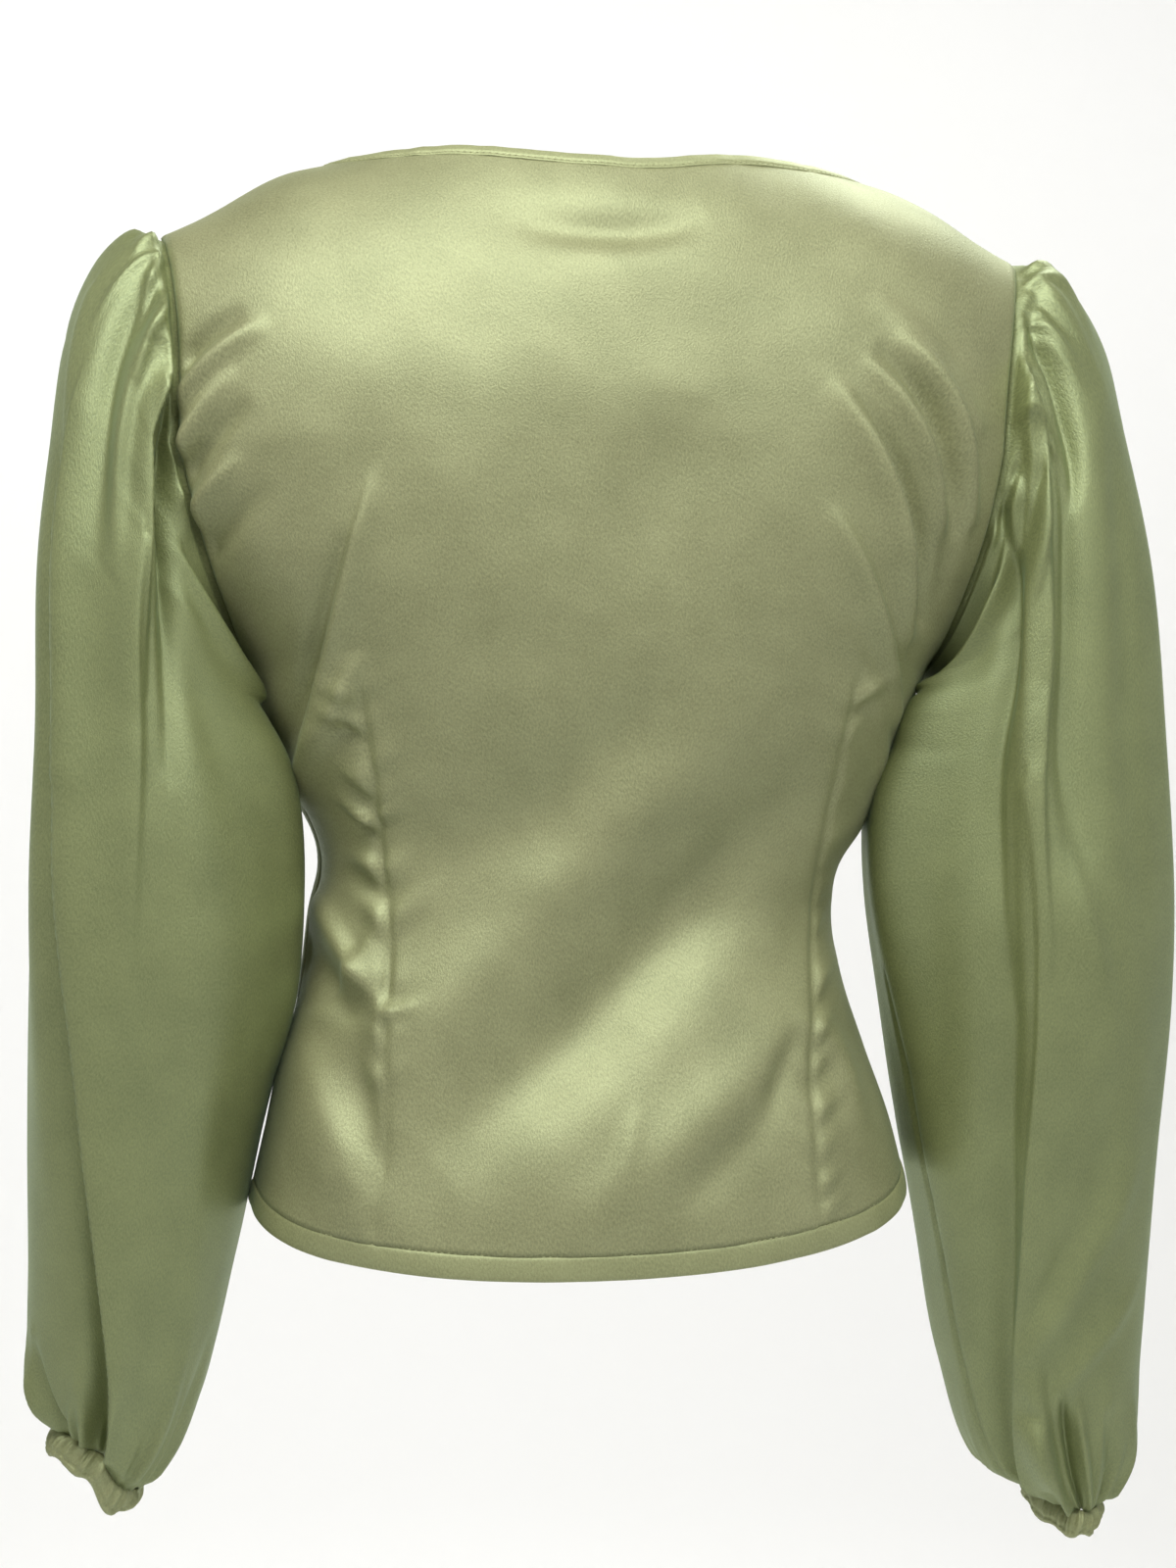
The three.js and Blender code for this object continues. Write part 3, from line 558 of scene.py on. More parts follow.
def dart(x, z, line, seed, fuller):
    """
    A stitched dart: a narrow valley, with the short bulges its stitching draws up beside it.
    They are stronger on the side `fuller`, 1 for greater x.
    """
    draws = np.random.default_rng(seed)
    centre = read(line, "x", z)
    deep, pucker = np.maximum(read(line, "deep", z), 0), np.maximum(read(line, "pucker", z), 0)
    inside = (z > line["z"][0]) & (z < line["z"][-1])
    aside = x - centre
    lift = -deep * np.exp(-((aside / 1.9) ** 2)) + 0.5 * deep * np.exp(-((aside / 10) ** 2))
    foot = PUCKERS_FROM
    while foot < PUCKERS_TO:
        pitch = draws.uniform(11, 27)
        for hand, part in ((fuller, 1.0), (-fuller, 0.4)):
            at = foot + draws.uniform(-3, 3)
            slope = draws.uniform(0.3, 0.9) * hand
            size = part * draws.uniform(0.45, 1.7)
            peak = draws.uniform(3.0, 6.5)
            reach = draws.uniform(8, 20)
            off = (z - at) - slope * aside
            beside = np.clip(aside * hand, 0, None)
            rise = beside / peak * np.exp(1 - beside / peak) * np.exp(-((beside / reach) ** 2))
            bulge = np.exp(-((off / (pitch * 0.25)) ** 2))
            hollow = np.exp(-(((off + pitch * 0.5) / (pitch * 0.22)) ** 2))
            lift += pucker * size * rise * (bulge - 0.5 * hollow)
        foot += pitch
    return np.where(inside, lift, 0)


def seam_valley(u, v):
    """A panel turns in beside its armholes, and less and more sharply beside its other seams."""
    at_armhole = (v > AT_ARMPIT) & (v < AT_TIP)
    beside = (1 - np.abs(u)) * np.where(at_armhole, 200, 400)
    deep = np.where(at_armhole, SEAM_DEEP, 0.3 * SEAM_DEEP)
    return -deep * np.exp(-((beside / SEAM_WIDE) ** 2))


def eased(points, u, v):
    """Rounds the panel off where its armholes start, away from its seams."""
    rows = np.arange(-10, 11)
    weights = np.exp(-((rows / 5) ** 2))
    padded = np.pad(points, ((10, 10), (0, 0), (0, 0)), mode="edge")
    soft = sum(w * padded[10 + r : 10 + r + len(points)] for r, w in zip(rows, weights))
    part = np.exp(-(((v - AT_ARMPIT) / 0.06) ** 2)) * (1 - u**6)
    return mix(points, soft / weights.sum(), part[..., None])


def seam_held(u):
    """Creases die away within a few millimetres of the seams at a panel's sides."""
    return 1 - np.exp(-((200 * (1 - np.abs(u)) / 5) ** 2))


def back_swell(u, x, z):
    """All the soft creases of the back, which the bands along its edges share."""
    lift = creases(x, z, BACK_CREASES)[0]
    lift += unevenness(x, z, 3, 100, 0.8) + unevenness(x, z, 6, 42, 0.3)
    return lift * seam_held(u)


u, v = panel_grid(BACK, 190, 98, 44, 42, 36)
back_points = eased(panel_point(BACK, u, v), u, v)
x, z = back_points[..., 0], back_points[..., 2]
out_way = directions(back_points, False, 1)[1]
lift = back_swell(u, x, z)
lift += dart(x, z, DART_LEFT, 5, 1) + dart(x, z, DART_RIGHT, 8, -1)
lift += seam_valley(u, v)
back_points = back_points + out_way * lift[..., None]
back = sew(
    "back_cloth", back_points, CLOTH, False, 1, [body_satin, wrong_side], "back"
)

# ---------------------------------------------------------------- the front
# The same satin, cut lower at the neck. It is shaped by a bust dart from each side seam and by
# two waist darts, alike on both sides.
FRONT_CREASES = with_columns(
    CREASE,
    [
        # the bust darts
        (140, -205, 110, -196, 75, -190, -1.5, -2, -0.4, 6, 6, 0),
        (-140, -205, -110, -196, -75, -190, -1.5, -2, -0.4, 6, 6, 0),
        # drag lines across the waist
        (-118, -316, -44, -366, 44, -432, 1.0, 4.6, 0.8, 15, 13, 0),
        (-112, -350, -50, -392, 10, -440, 0.4, -3.2, -0.8, 13, 13, 0),
        (118, -310, 56, -352, -14, -388, 0.8, 4.2, 0.6, 12, 13, 0),
        (126, -348, 84, -388, 40, -436, 0.5, 3.4, 1.0, 9, 11, 0),
        # drag lines from the armholes
        (168, -66, 146, -104, 118, -146, 3.0, 4.4, 0.5, 7, 5, 0),
        (-164, -60, -140, -100, -112, -150, 2.6, 4.2, 0.5, 5, 7, 0),
        (176, -96, 156, -140, 130, -182, 2.4, 3.6, 0.4, 5, 5, 0),
        (172, -82, 150, -122, 122, -164, -1.2, -2.8, -0.2, 5, 5, 0),
        (-176, -92, -158, -134, -132, -178, 2.4, 3.4, 0.4, 5, 5, 0),
        # broad, shallow waves over the chest
        (52, -140, 22, -214, -20, -286, 0.3, 2.8, 0.4, 18, 16, 0),
        (-58, -150, -34, -214, 8, -270, 0.3, 2.2, 0.4, 15, 18, 0),
    ],
)
WAIST_DART = with_columns(  # the wearer's left one
    DART_COLUMNS,
    [
        (-456, 102, 0.4, 0.2),
        (-444, 101, 0.9, 0.5),
        (-380, 97, 1.4, 1.2),
        (-320, 95, 1.7, 1.6),
        (-270, 97, 1.3, 1.4),
        (-236, 100, 0.6, 0.8),
        (-222, 101, 0, 0),
    ],
)


def front_swell(u, x, z):
    """All the soft creases of the front."""
    lift = creases(x, z, FRONT_CREASES)[0]
    lift += unevenness(x, z, 4, 100, 0.9) + unevenness(x, z, 7, 42, 0.3)
    return lift * seam_held(u)


u, v = panel_grid(FRONT, 130, 74, 34, 32, 28)
front_points = eased(panel_point(FRONT, u, v), u, v)
x, z = front_points[..., 0], front_points[..., 2]
out_way = directions(front_points, False, 1)[1]
lift = front_swell(u, x, z)
lift += dart(x, z, WAIST_DART, 12, -1) + dart(-x, z, WAIST_DART, 15, -1)
lift += seam_valley(u, v)
front_points = front_points + out_way * lift[..., None]
front = sew(
    "front_cloth", front_points, CLOTH, False, 1, [body_satin, wrong_side], "front"
)

# ---------------------------------------------------------------- the sleeves and cuffs
# Each sleeve is one wide piece of the satin, gathered into the armhole at its head, with its one
# seam under the arm. The gathers fall into long, deep folds. Its foot is drawn up into a cuff, a
# narrow casing of the same satin stitched over elastic.
SLEEVE_COLUMNS = "down out_x out_z in_x in_z back front"
SLEEVE_LEFT = with_columns(
    SLEEVE_COLUMNS,
    [
        (0, 199, -12.5, 159, -206, 60, -56),
        (14, 210, -12.5, 160, -210, 62, -58),
        (30, 224.5, -27.5, 161, -214, 64, -60),
        (60, 237.5, -58, 161, -219, 67, -62),
        (105, 244, -107, 159, -225, 70, -62),
        (160, 249, -160, 153, -238, 71, -60),
        (225, 250, -231, 144, -262, 70, -58),
        (290, 254, -299, 139, -304, 66, -58),
        (350, 256, -360, 139.5, -360, 62, -60),
        (410, 257, -420, 153, -420, 56, -62),
        (465, 257, -473, 163.5, -473, 48, -62),
        (515, 257.5, -516, 174, -521, 36, -58),
        (545, 254, -538, 188, -554, 24, -48),
        (562, 243, -551, 206, -577, 16, -38),
    ],
)
SLEEVE_RIGHT = with_columns(
    SLEEVE_COLUMNS,
    [
        (0, 199, -12.5, 159, -206, 60, -56),
        (14, 214.5, -14.3, 160, -210, 61, -58),
        (30, 229, -31, 161, -214, 62, -60),
        (60, 245, -61, 161, -219, 65, -62),
        (105, 255, -104, 158, -226, 68, -62),
        (160, 265, -162, 150, -238, 70, -60),
        (225, 271, -236, 138, -266, 70, -58),
        (290, 274.5, -304, 137, -311, 68, -58),
        (350, 274, -364, 144, -366, 64, -60),
        (410, 271.5, -424, 151, -425, 58, -62),
        (465, 270, -480, 161, -480, 50, -62),
        (520, 268, -532, 172, -534, 38, -58),
        (568, 264, -577, 190, -583, 24, -48),
        (590, 248.5, -602, 217, -594, 16, -38),
    ],
)
# A fold's places are a distance down the sleeve and an angle round it, from its outer side
# over its back.
FOLD = "down0 around0 down1 around1 down2 around2 high0 high1 high2 plus minus lean"
LEFT_FOLDS = with_columns(
    FOLD,
    [
        # the outer side: a dull band, a turned edge, and the long edge down to the cuff
        (40, 20, 130, 40, 240, 48, 1.5, 3.0, 2.0, 9, 4, 0),
        (80, 38, 330, 58, 562, 99, 2.0, 8.5, 7.0, 15, 2.0, -4),
        (110, 32, 340, 52, 560, 92, -1.0, -5.5, -6.5, 3, 9, 0),
        (120, 24, 240, 26, 420, 40, 0.5, 2.0, 0.8, 9, 9, 0),
        # tucks at the head of the armhole seam
        (3, 18, 8, 24, 20, 30, 2.0, 3.2, 0.4, 2.4, 3.6, 0),
        (3, 32, 8, 40, 22, 52, 2.4, 4.6, 1.0, 2.2, 3.2, 0),
        (3, 50, 9, 57, 26, 68, 2.6, 5.0, 1.4, 2.0, 3.2, 1),
        (3, 66, 10, 76, 26, 88, 2.0, 3.6, 0.6, 2.2, 3.6, 0),
        # the dip at the shoulder tip, and the puff below it
        (3, 4, 7, 4, 12, 4, -1.5, -1.5, 0.5, 12, 12, 0),
        (10, 2, 26, 0, 62, 0, 0.8, 3.6, 0.6, 16, 18, 0),
        # the trough and the bright ridge behind it
        (10, 44, 50, 54, 130, 58, -3, -7, -1.0, 8, 8, 0),
        (6, 54, 40, 68, 130, 70, 2.5, 5, 0.8, 5, 5, 0),
        # the fold that overlaps the flap
        (5, 62, 46, 86, 190, 84, 4.0, 10.0, 1.2, 1.8, 10, 4),
        (90, 84, 190, 81, 360, 78, 1.5, 4.5, 0.4, 3.0, 13, 2),
        (10, 82, 60, 98, 230, 92, -5, -9, -1, 8, 3.0, 0),
        (170, 90, 240, 92, 340, 92, -1.0, -1.8, -0.2, 7, 8, 0),
        # the flap beside the body
        (34, 112, 66, 134, 118, 155, 0.5, 8, 6, 5, 10, 4),
        (70, 146, 230, 158, 380, 162, 2.5, 11.0, 0.5, 13, 17, 0),
        # broad, shallow waves down the sleeve
        (90, 110, 200, 116, 330, 124, 0.4, -3, 0, 14, 14, 0),
        (60, 10, 200, 20, 420, 30, 0.4, 3, 0.4, 10, 10, 0),
        (330, 112, 440, 118, 545, 128, 0.4, 3, 0.5, 12, 12, 0),
        (300, 100, 350, 106, 420, 108, 0.3, 2.5, 0.4, 16, 16, 0),
        # the front
        (12, 330, 70, 312, 330, 292, 2, 4.5, 0.5, 9, 9, 0),
        (10, 312, 90, 292, 300, 276, -2, -4.5, -0.5, 8, 8, 0),
        (12, 292, 110, 268, 420, 262, 2, 4.5, 0.8, 9, 9, 0),
        (40, 262, 160, 244, 440, 240, -1, -4, -0.6, 9, 9, 0),
        (260, 226, 400, 232, 548, 250, 0.6, 4, 3, 10, 10, 0),
        (300, 300, 420, 310, 552, 296, 0.6, -4, -3, 9, 9, 0),
        (340, 330, 450, 336, 552, 330, 0.6, 3.5, 3, 9, 9, 0),
        # the blousing above the cuff
        (500, 22, 532, 36, 562, 52, 0.8, -4.5, -5, 4, 6, 0),
        (510, 8, 536, 20, 562, 34, 0.8, 4.0, 3.5, 6, 6, 0),
        (520, 66, 542, 70, 562, 74, 0.8, 3.5, 3.0, 5, 5, 0),
        (505, 118, 536, 124, 562, 128, 0.5, 3.5, 3, 8, 8, 0),
        (490, 150, 530, 146, 560, 146, 0.5, -2.5, -2.5, 6, 6, 0),
    ],
)
RIGHT_FOLDS = with_columns(
    FOLD,
    [
        # tucks at the head of the armhole seam
        (3, 32, 9, 30, 22, 22, 2.0, 3.4, 0.4, 2.6, 3.4, 0),
        (3, 22, 8, 20, 18, 14, 1.6, 2.6, 0.3, 2.4, 3.0, 0),
        (3, 8, 9, 6, 20, 0, 1.2, 1.6, 0.3, 2.6, 3.0, 0),
        # the dip at the shoulder tip, the puff below it, and the tucks and trough behind
        (2, 0, 9, 0, 26, 0, -5.5, -7, 0, 16, 16, 0),
        (24, 6, 44, 4, 90, 4, 0, 3.6, 0.4, 14, 14, 0),
        (3, 70, 14, 88, 34, 102, 1.5, 3.4, 0.8, 2.4, 4.0, 0),
        (6, 12, 20, 22, 44, 26, 1.5, 3.0, 0.6, 8, 8, 0),
        (2, 28, 12, 42, 26, 44, -1.5, -3.0, -0.8, 4, 4, 0),
        (4, 46, 20, 62, 70, 78, -4, -9, -1.5, 4, 6, 0),
        # the fold with a sharp outer edge
        (2, 54, 20, 82, 96, 104, 4, 8, 1, 9, 2.2, -4),
        (30, 88, 110, 99, 320, 97, 2.5, 8.0, 1.5, 8, 1.8, -3),
        (40, 104, 150, 110, 340, 108, 1.0, 4.5, 1.5, 2.2, 7, 1),
        (40, 80, 130, 91, 300, 88, -1.5, -4.5, -0.5, 3, 9, 0),
        (180, 103, 262, 92, 380, 72, 0.8, 4.0, 0.4, 12, 5, 0),
        # the long groove down to the cuff
        (8, 99, 64, 113, 290, 112, -4.0, -6.0, -0.5, 8, 3, 0),
        (110, 115, 370, 111, 580, 136, -0.5, -7.0, -6.0, 14, 3, 0),
        (230, 104, 380, 102, 575, 127, 1.5, 4.0, 3.5, 2.6, 11, 3),
        # the flap beside the body
        (16, 106, 52, 130, 110, 155, 3.5, 9, 5.5, 5, 9, 4),
        (60, 146, 226, 155, 380, 160, 2.0, 11, 0.5, 13, 16, 0),
        (84, 148, 136, 154, 200, 154, 1.0, 7, 1.0, 13, 13, 0),
        (190, 166, 262, 172, 400, 176, 1.0, 6.5, 1.5, 26, 26, 0),
        (130, 162, 176, 172, 240, 176, 0.6, 4.0, 0.6, 16, 16, 0),
        # the underarm seam, and the puff that shines above the cuff
        (330, 166, 450, 160, 576, 150, -1.2, -1.9, -1.2, 1.6, 1.8, 0),
        (538, 112, 556, 111, 574, 109, -2.0, 8.0, -1.0, 8, 4, 0),
        # broad, shallow waves down the sleeve
        (140, 140, 260, 142, 400, 142, 0.3, -2.5, -0.3, 13, 13, 0),
        (60, 46, 180, 58, 340, 60, 0.4, -3, -0.4, 10, 10, 0),
        (90, 24, 240, 30, 460, 34, 0.4, 3, 0.4, 10, 10, 0),
        (350, 66, 420, 76, 500, 78, 0.4, -2.5, -0.4, 9, 9, 0),
        # soft slanting swells above the cuff
        (420, 56, 470, 84, 508, 108, 0.6, 4.2, 1.6, 8, 8, 0),
        (436, 84, 474, 98, 505, 116, 0.3, -3.0, -0.6, 7, 7, 0),
        (478, 44, 514, 82, 538, 100, 0.5, 3.4, 1.4, 6, 6, 0),
        (268, 84, 300, 86, 344, 84, 0.3, 2.4, 0.4, 9, 9, 0),
        # the folds into the cuff
        (516, 108, 548, 108, 588, 103, 1.0, 7.5, 4.0, 8, 4, -1),
        (530, 96, 556, 94, 590, 90, -1.0, -4.5, -2.0, 2.6, 2.8, 0),
        (534, 87, 560, 84, 590, 79, 1.0, 5.0, 4.0, 3.4, 4, 0),
        (540, 66, 564, 60, 590, 56, 0.5, -4.5, -4.5, 5, 5, 0),
        (540, 40, 562, 34, 588, 30, 0.5, 3, 3, 7, 7, 0),
        # the front
        (12, 334, 80, 308, 300, 292, 2, 4.5, 0.5, 9, 9, 0),
        (10, 314, 90, 290, 300, 276, -2, -4.5, -0.5, 8, 8, 0),
        (12, 290, 110, 270, 450, 258, 2, 4.5, 0.8, 9, 9, 0),
        (40, 262, 160, 246, 450, 244, -1, -4, -0.6, 9, 9, 0),
        (280, 222, 420, 228, 570, 246, 0.6, 4, 3, 10, 10, 0),
        (320, 300, 440, 306, 575, 292, 0.6, -4, -3, 9, 9, 0),
        (340, 334, 450, 340, 575, 330, 0.6, 3.5, 3, 9, 9, 0),
    ],
)
SLEEVE_RADIUS = 58  # for the distance between two angles on a sleeve


def armhole_point(hand, around):
    """A point on the armhole seam, at an angle round from the shoulder tip."""
    from_tip = np.minimum(around, 360 - around)
    point = np.zeros(around.shape + (3,))
    for side, here in ((BACK, around <= 180), (FRONT, around > 180)):
        high = shoulder_point(side, hand + 0 * around, 90 - np.minimum(from_tip, 90))
        drop = np.sin(np.radians(np.clip(from_tip - 90, 0, 90)))
        low = body_point(side, hand + 0 * around, mix(BLADE_Z, ARMPIT_Z, drop))
        point = np.where(
            here[..., None], np.where((from_tip <= 90)[..., None], high, low), point
        )
    return point


def sleeve_section(hand, table, down, around):
    """A point on the smooth sections of a sleeve."""
    share = (1 + np.cos(np.radians(around))) / 2
    back, front = read(table, "back", down), read(table, "front", down)
    y = (back + front) / 2 + np.sin(np.radians(around)) * (back - front) / 2
    x = mix(read(table, "in_x", down), read(table, "out_x", down), share)
    z = mix(read(table, "in_z", down), read(table, "out_z", down), share)
    return np.stack([hand * x, y, z], axis=-1)


def sleeve_point(hand, table, down, around):
    """A point on a sleeve: its sections, drawn to the armhole's curve at the top."""
    pull = np.exp(-((down / 45) ** 2))[..., None]
    error = armhole_point(hand, around) - sleeve_section(hand, table, 0 * down, around)
    return sleeve_section(hand, table, down, around) + error * pull


def sleeve_grid(table, columns, rows):
    """
    The distance down and angle around of every place of a sleeve, from its cuff up. The
    places stand closer together over the back of the sleeve and near both of its ends.
    """
    length = table["down"][-1]
    steps = np.linspace(0, 1, rows + 1)
    down = length * (steps - 0.055 * np.sin(2 * math.pi * steps))
    turn = 2 * math.pi * np.arange(columns) / columns
    centre = math.radians(100)
    around = np.degrees(turn - 0.42 * np.sin(turn - centre) - 0.42 * math.sin(centre)) % 360
    return np.broadcast_arrays(down[::-1][:, None], around[None, :])


def sleeve_folds(table, down, around):
    """The lift and push of a sleeve's folds, joined where the cloth meets itself again."""
    arc = math.radians(1) * SLEEVE_RADIUS
    named = dict(table)
    for k in "012":
        named["x" + k], named["z" + k] = table["around" + k] * arc, -table["down" + k]
    lift, push = 0, 0
    for lap in (-360, 0, 360):
        more, aside = creases((around + lap) * arc, -down, named)
        lift, push = lift + more, push + aside
    return lift, push


def pleats(seed, every, first, last, fades, highs, wides):
    """Uneven little folds side by side: where each is, how far it reaches, how high and wide."""
    draws = np.random.default_rng(seed)
    rows = []
    for place in np.arange(first, last, every):
        at = place + draws.uniform(-0.36, 0.36) * every
        drift = draws.uniform(-0.12, 0.12)
        rows.append(
            (at, drift, draws.uniform(*fades), draws.uniform(*highs), draws.uniform(*wides))
        )
    return rows


def pleated(around, away, rows):
    """The lift of pleats at a distance `away` from the seam that gathers them."""
    lift = np.zeros(around.shape)
    for at, drift, fade, high, wide in rows:
        off = (around - at - drift * away + 180) % 360 - 180
        lift += high * np.exp(-((off / wide) ** 2)) * np.exp(-((away / fade) ** 2))
    return lift


def foot_drop(name, around):
    """How much lower a cuff hangs at its inner side on the left, and at its back on the right."""
    if name == "sleeve_right":
        return 6.5 * np.cos(np.radians(around - 96))
    from_middle = (around - 104 + 180) % 360 - 180
    return 5.0 * np.tanh(from_middle / 9) * np.exp(-((from_middle / 80) ** 2))


# The sleeves are cut from the body's satin, but their colours are darker than the body's: painted
# shade standing in for the dimmer light that falls on the sleeves.
sleeve_satin = satin(
    "sleeve_satin", (0.112, 0.124, 0.044), (0.222, 0.24, 0.1), 0.5, 2.5, 0.9, 0.16, 0.8
)
band_satin = satin(
    "band_satin", (0.21, 0.215, 0.1), (0.34, 0.345, 0.18), 0.54, 2.3, 0.7, 0.16, 0.35
)
CUFF_BAND, CUFF_CLOTH, CUFF_COLUMNS = 13, 1.0, 280  # a cuff's height, thickness and fineness
CAP_PLEATS, CUFF_PLEATS = 8.5, 12  # degrees round from one little fold to the next
SWELL, SWELL_LONG = 12, 90  # how far the back of a sleeve swells at its fullest, and how long for
for name, hand, table, folds, seed, fullest_down in (
    ("sleeve_left", 1, SLEEVE_LEFT, LEFT_FOLDS, 21, 300),
    ("sleeve_right", -1, SLEEVE_RIGHT, RIGHT_FOLDS, 34, 340),
):
    length = table["down"][-1]
    down, around = sleeve_grid(table, 236, 200)
    lift, push = sleeve_folds(folds, down, around)
    cap_pleats = pleats(seed, CAP_PLEATS, -112, 113, (10, 34), (1.0, 3.6), (1.9, 3.8))
    cuff_pleats = pleats(seed + 1, CUFF_PLEATS, 0, 360, (12, 44), (1.2, 4.2), (2.4, 4.4))
    off_tip = np.minimum(around, 360 - around)
    lift += pleated(around, down, cap_pleats) * (1 - 0.9 * np.exp(-((off_tip / 24) ** 2)))
    lift += pleated(around, length - down, cuff_pleats)
    lift += unevenness(around, down * 0.3, seed, 50, 1.0) * np.sin(np.radians(around / 2)) ** 2
    fullest = np.exp(-(((down - fullest_down) / SWELL_LONG) ** 2))
    lift += SWELL * fullest * np.clip(np.sin(np.radians(around)), 0, 1) ** 2
    held = np.clip(down / 7, 0, 1) * np.clip((length - down) / 5, 0.35, 1)
    lift, push = lift * held, push * held
    lift -= 2.2 * np.exp(-((down / 3.0) ** 2)) + 1.4 * np.exp(-(((length - down) / 2.5) ** 2))
    points = sleeve_point(hand, table, down, around)
    across_way, out_way = directions(points, True, hand)
    points = points + out_way * lift[..., None] + across_way * push[..., None]
    points[..., 2] -= foot_drop(name, around) * np.exp(-(((length - down) / 34) ** 2))
    turned_under = points[-1] + np.array([-4.0 * hand, 0, 0]) - 1.0 * out_way[-1]
    points = np.concatenate([points, turned_under[None]])
    cloth = [sleeve_satin, wrong_side]
    piece = sew(name + "_cloth", points, CLOTH, True, hand, cloth, name)

    # The cuff, drawn up into small ruffles by its elastic, hangs from the sleeve's edge.
    around = np.broadcast_to(360 * np.arange(CUFF_COLUMNS) / CUFF_COLUMNS, (19, CUFF_COLUMNS))
    below = np.broadcast_to(np.linspace(CUFF_BAND, 0, 19)[:, None], around.shape)
    slant = np.array(
        [table["in_x"][-1] - table["out_x"][-1], 0, table["in_z"][-1] - table["out_z"][-1]]
    )
    slant /= np.linalg.norm(slant)
    downward = np.array([-hand * slant[2], 0, slant[0]])
    base = sleeve_section(hand, table, length + 0 * around, around)
    points = base + downward * (below - 0.6)[..., None]
    points[..., 2] -= foot_drop(name, around)
    ruffles = pleats(seed + 2, CUFF_PLEATS, 0, 360, (14, 60), (1.4, 3.4), (1.8, 3.4))
    lift = pleated(around, below, ruffles) * (0.55 + 0.45 * np.cos((below - 6) / 3.2))
    lift += 0.8 * np.sin(math.pi * below / CUFF_BAND) - 1.3 * np.exp(-((below / 1.6) ** 2))
    lift -= 0.9 * np.exp(-(((below - 10.2) / 0.9) ** 2))
    lift -= 0.8 * np.exp(-(((CUFF_BAND - below) / 0.9) ** 2))
    points = points + directions(points, True, hand)[1] * lift[..., None]
    points[..., 2] += 1.2 * np.sin(np.radians(around * 7 + 40 * seed)) * (below / CUFF_BAND) ** 2
    node = name.replace("sleeve", "cuff")
    cloth = [band_satin, wrong_side]
    piece = sew(node + "_casing", points, CUFF_CLOTH, True, hand, cloth, node)

# ---------------------------------------------------------------- the neck band and the hem
# The neck edge is a narrow turned band, and the hem is turned up inside. Each is held by one
# line of machine stitches, which sinks a little into the satin and draws it up unevenly.
BAND_CLOTH = 1.2  # thickness of the turned bands
THREAD = 0.22  # radius of the thread
STITCH_STEPS, STITCH_SIDES = 6, 5  # fineness of a stitch along and round its thread


def edge_band(name, node, row_at, height, profile, seed):
    """A closed band round the body; `row_at` gives the v of a row some way in from its edge."""
    levels = np.sort(np.concatenate([np.linspace(0.0, height, 15), [0.25, height - 0.25]]))
    loop, swells = [], []
    for level in levels:
        ring, swell = [], []
        for side, first, swell_of in ((FRONT, -1, front_swell), (BACK, 1, back_swell)):
            u = first - 2 * first * np.arange(260) / 260
            ring.append(panel_point(side, u, row_at(side, u, level)))
            swell.append(swell_of(u, ring[-1][:, 0], ring[-1][:, 2]))
        loop.append(np.concatenate(ring))
        swells.append(np.concatenate(swell))
    points, swells = np.array(loop), np.array(swells)
    away = np.broadcast_to(levels[:, None], points.shape[:2])
    if node == "neck_band":
        points, away, swells = points[::-1], away[::-1], swells[::-1]
    out = directions(points, True, 1)[1]
    drawn = np.linalg.norm(np.diff(points[0], axis=0, append=points[0][:1]), axis=-1).cumsum()
    pulls = np.random.default_rng(seed).uniform(-1, 1, int(drawn[-1] / 7))
    uneven = np.interp(drawn, np.linspace(0, drawn[-1], len(pulls)), pulls)
    points = points + out * (profile(away) + 0.26 * uneven + swells)[..., None]
    piece = sew(name, points, BAND_CLOTH, True, 1, [band_satin, wrong_side], node)
    return piece, points, away


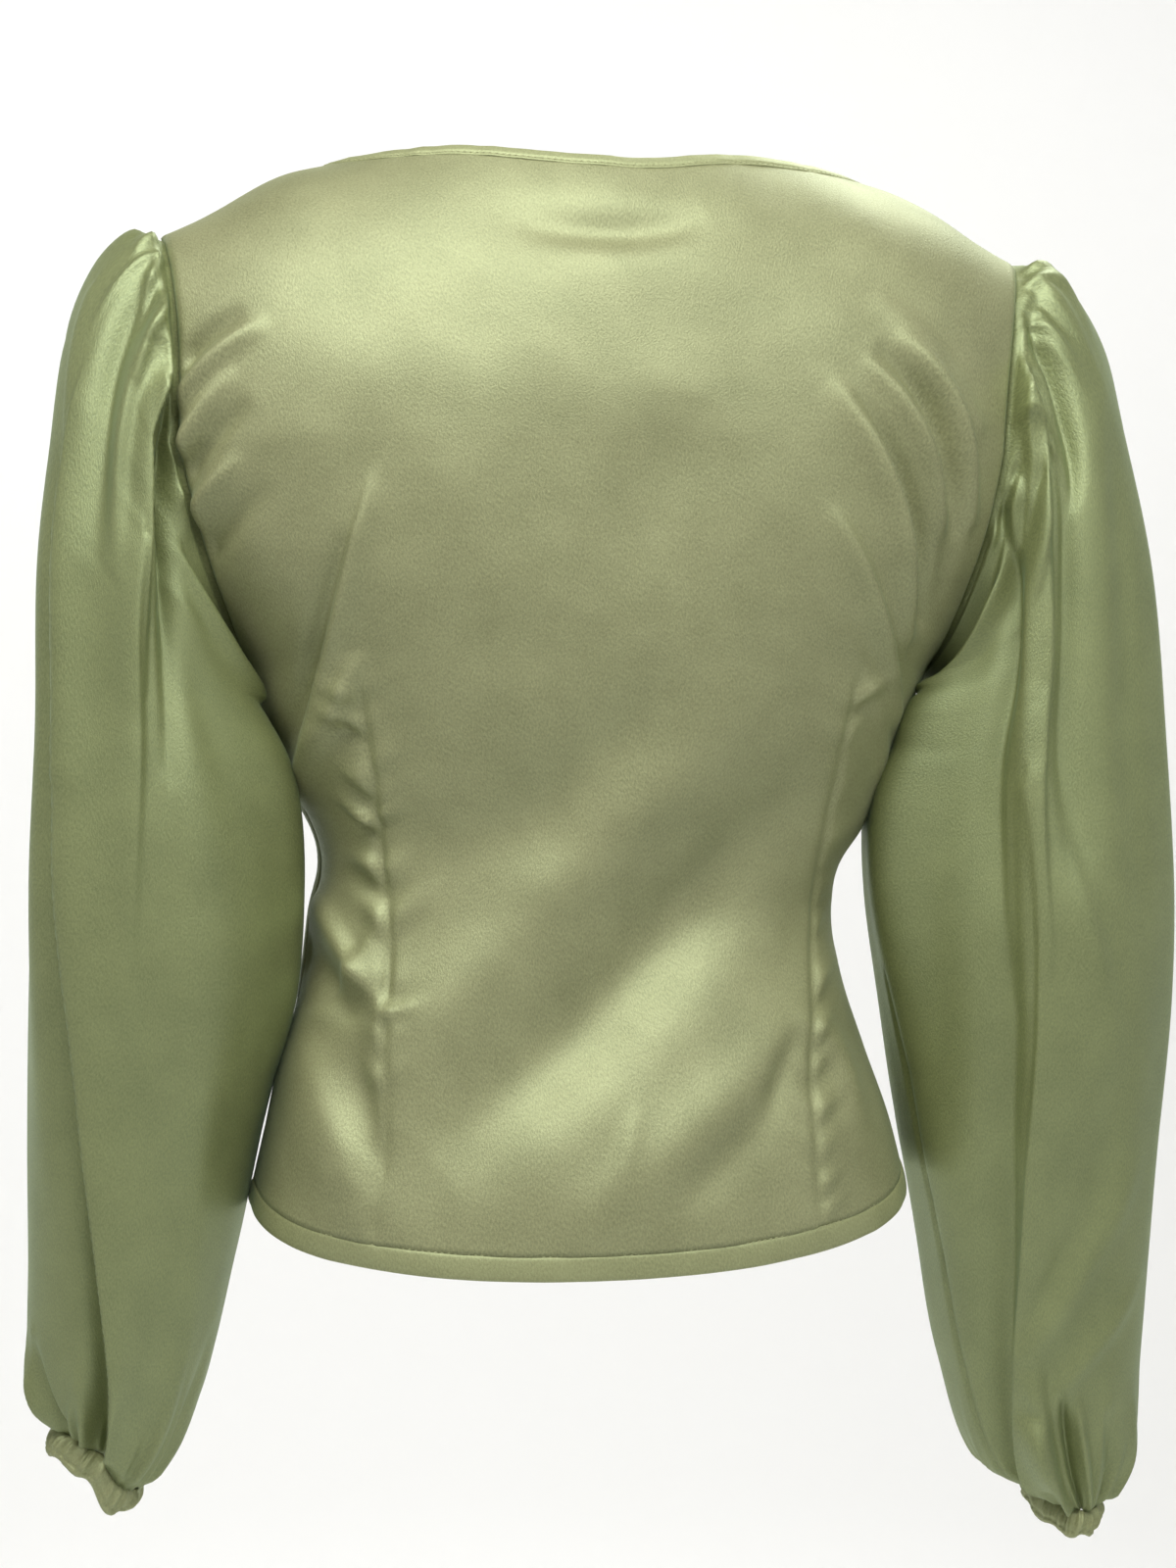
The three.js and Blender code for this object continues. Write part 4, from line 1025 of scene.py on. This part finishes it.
def stitch(name, path, out, pitch, long):
    """A line of machine stitches along a closed path: one short raised loop after another."""
    span = np.linalg.norm(np.diff(path, axis=0, append=path[:1]), axis=-1)
    travel = np.concatenate([[0], np.cumsum(span)])
    path, out = np.concatenate([path, path[:1]]), np.concatenate([out, out[:1]])
    count = int(travel[-1] / pitch)
    vertices, quads = [], []
    for k in range(count):
        ring = []
        for step in range(STITCH_STEPS + 1):
            t = step / STITCH_STEPS
            where = (k + 0.5) * travel[-1] / count + (t - 0.5) * long
            at = np.array([np.interp(where, travel, path[:, i]) for i in range(3)])
            beyond = np.array([np.interp(where + 0.5, travel, path[:, i]) for i in range(3)])
            square = np.array([np.interp(where, travel, out[:, i]) for i in range(3)])
            along = (beyond - at) / np.linalg.norm(beyond - at)
            beside = np.cross(along, square)
            round_end = max(math.sin(math.pi * t), 0.08) ** 0.5
            at = at + square * (0.30 * math.sin(math.pi * t) - 0.12)
            for turn in range(STITCH_SIDES):
                angle = 2 * math.pi * turn / STITCH_SIDES
                way = square * math.sin(angle) + beside * math.cos(angle)
                ring.append(at + way * THREAD * round_end)
        base = len(vertices)
        vertices += ring
        for step in range(STITCH_STEPS):
            low = base + step * STITCH_SIDES
            for turn in range(STITCH_SIDES):
                a, b = low + turn, low + (turn + 1) % STITCH_SIDES
                quads.append((a, b, b + STITCH_SIDES, a + STITCH_SIDES))
        end = base + STITCH_STEPS * STITCH_SIDES
        quads.append(tuple(base + turn for turn in reversed(range(STITCH_SIDES))))
        quads.append(tuple(end + turn for turn in range(STITCH_SIDES)))
    mesh = bpy.data.meshes.new(name)
    mesh.from_pydata((np.array(vertices) * MM).tolist(), [], quads)
    mesh.polygons.foreach_set("use_smooth", [True] * len(quads))
    mesh.materials.append(thread_satin)
    piece = bpy.data.objects.new(name, mesh)
    bpy.context.scene.collection.objects.link(piece)
    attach(piece, "root")
    return piece


thread_satin = satin("thread", (0.34, 0.345, 0.19), (0.42, 0.43, 0.25), 0.5, 1.8, 0.1, 0.2, 0)
NECK_STITCHES = 6.0  # from the neckline to the neck band's stitches
HEM_STITCHES = HEM_BAND - 0.35  # from the hem's edge up to its stitches
STITCH_PITCH, STITCH_GAP = 2.9, 0.7


def neck_profile(away):
    """The neck band swells between its edge, its stitches and its seam."""
    lift = 0.75 - 0.9 * np.exp(-((away / 0.8) ** 2)) - 0.55 * np.exp(
        -(((away - NECK_STITCHES) / 0.7) ** 2)
    )
    return lift - 0.7 * np.exp(-(((away - NECK_BAND) / 0.5) ** 2))


def hem_profile(away):
    """The hem swells between its edge and the stitches along its top."""
    lift = 0.1 + 0.5 * np.sin(math.pi * np.clip(away / HEM_BAND, 0, 1)) ** 0.8
    return lift - 0.5 * np.exp(-(((away - HEM_BAND) / 0.7) ** 2)) - 0.4 * np.exp(
        -((away / 0.7) ** 2)
    )


neck, neck_points, neck_away = edge_band(
    "neck_band_satin", "neck_band", below_neckline, NECK_BAND, neck_profile, 41
)
hem, hem_points, hem_away = edge_band(
    "hem_band_satin", "hem_band", lambda side, u, up: above_hem(u, up), HEM_BAND, hem_profile, 42
)
for name, points, away, level in (
    ("neck_stitches", neck_points, neck_away, NECK_STITCHES),
    ("hem_stitches", hem_points, hem_away, HEM_STITCHES),
):
    nearest = np.abs(away[:, 0] - level).argmin()
    out = directions(points, True, 1)[1][nearest]
    stitch(name, points[nearest], out, STITCH_PITCH, STITCH_PITCH - STITCH_GAP)
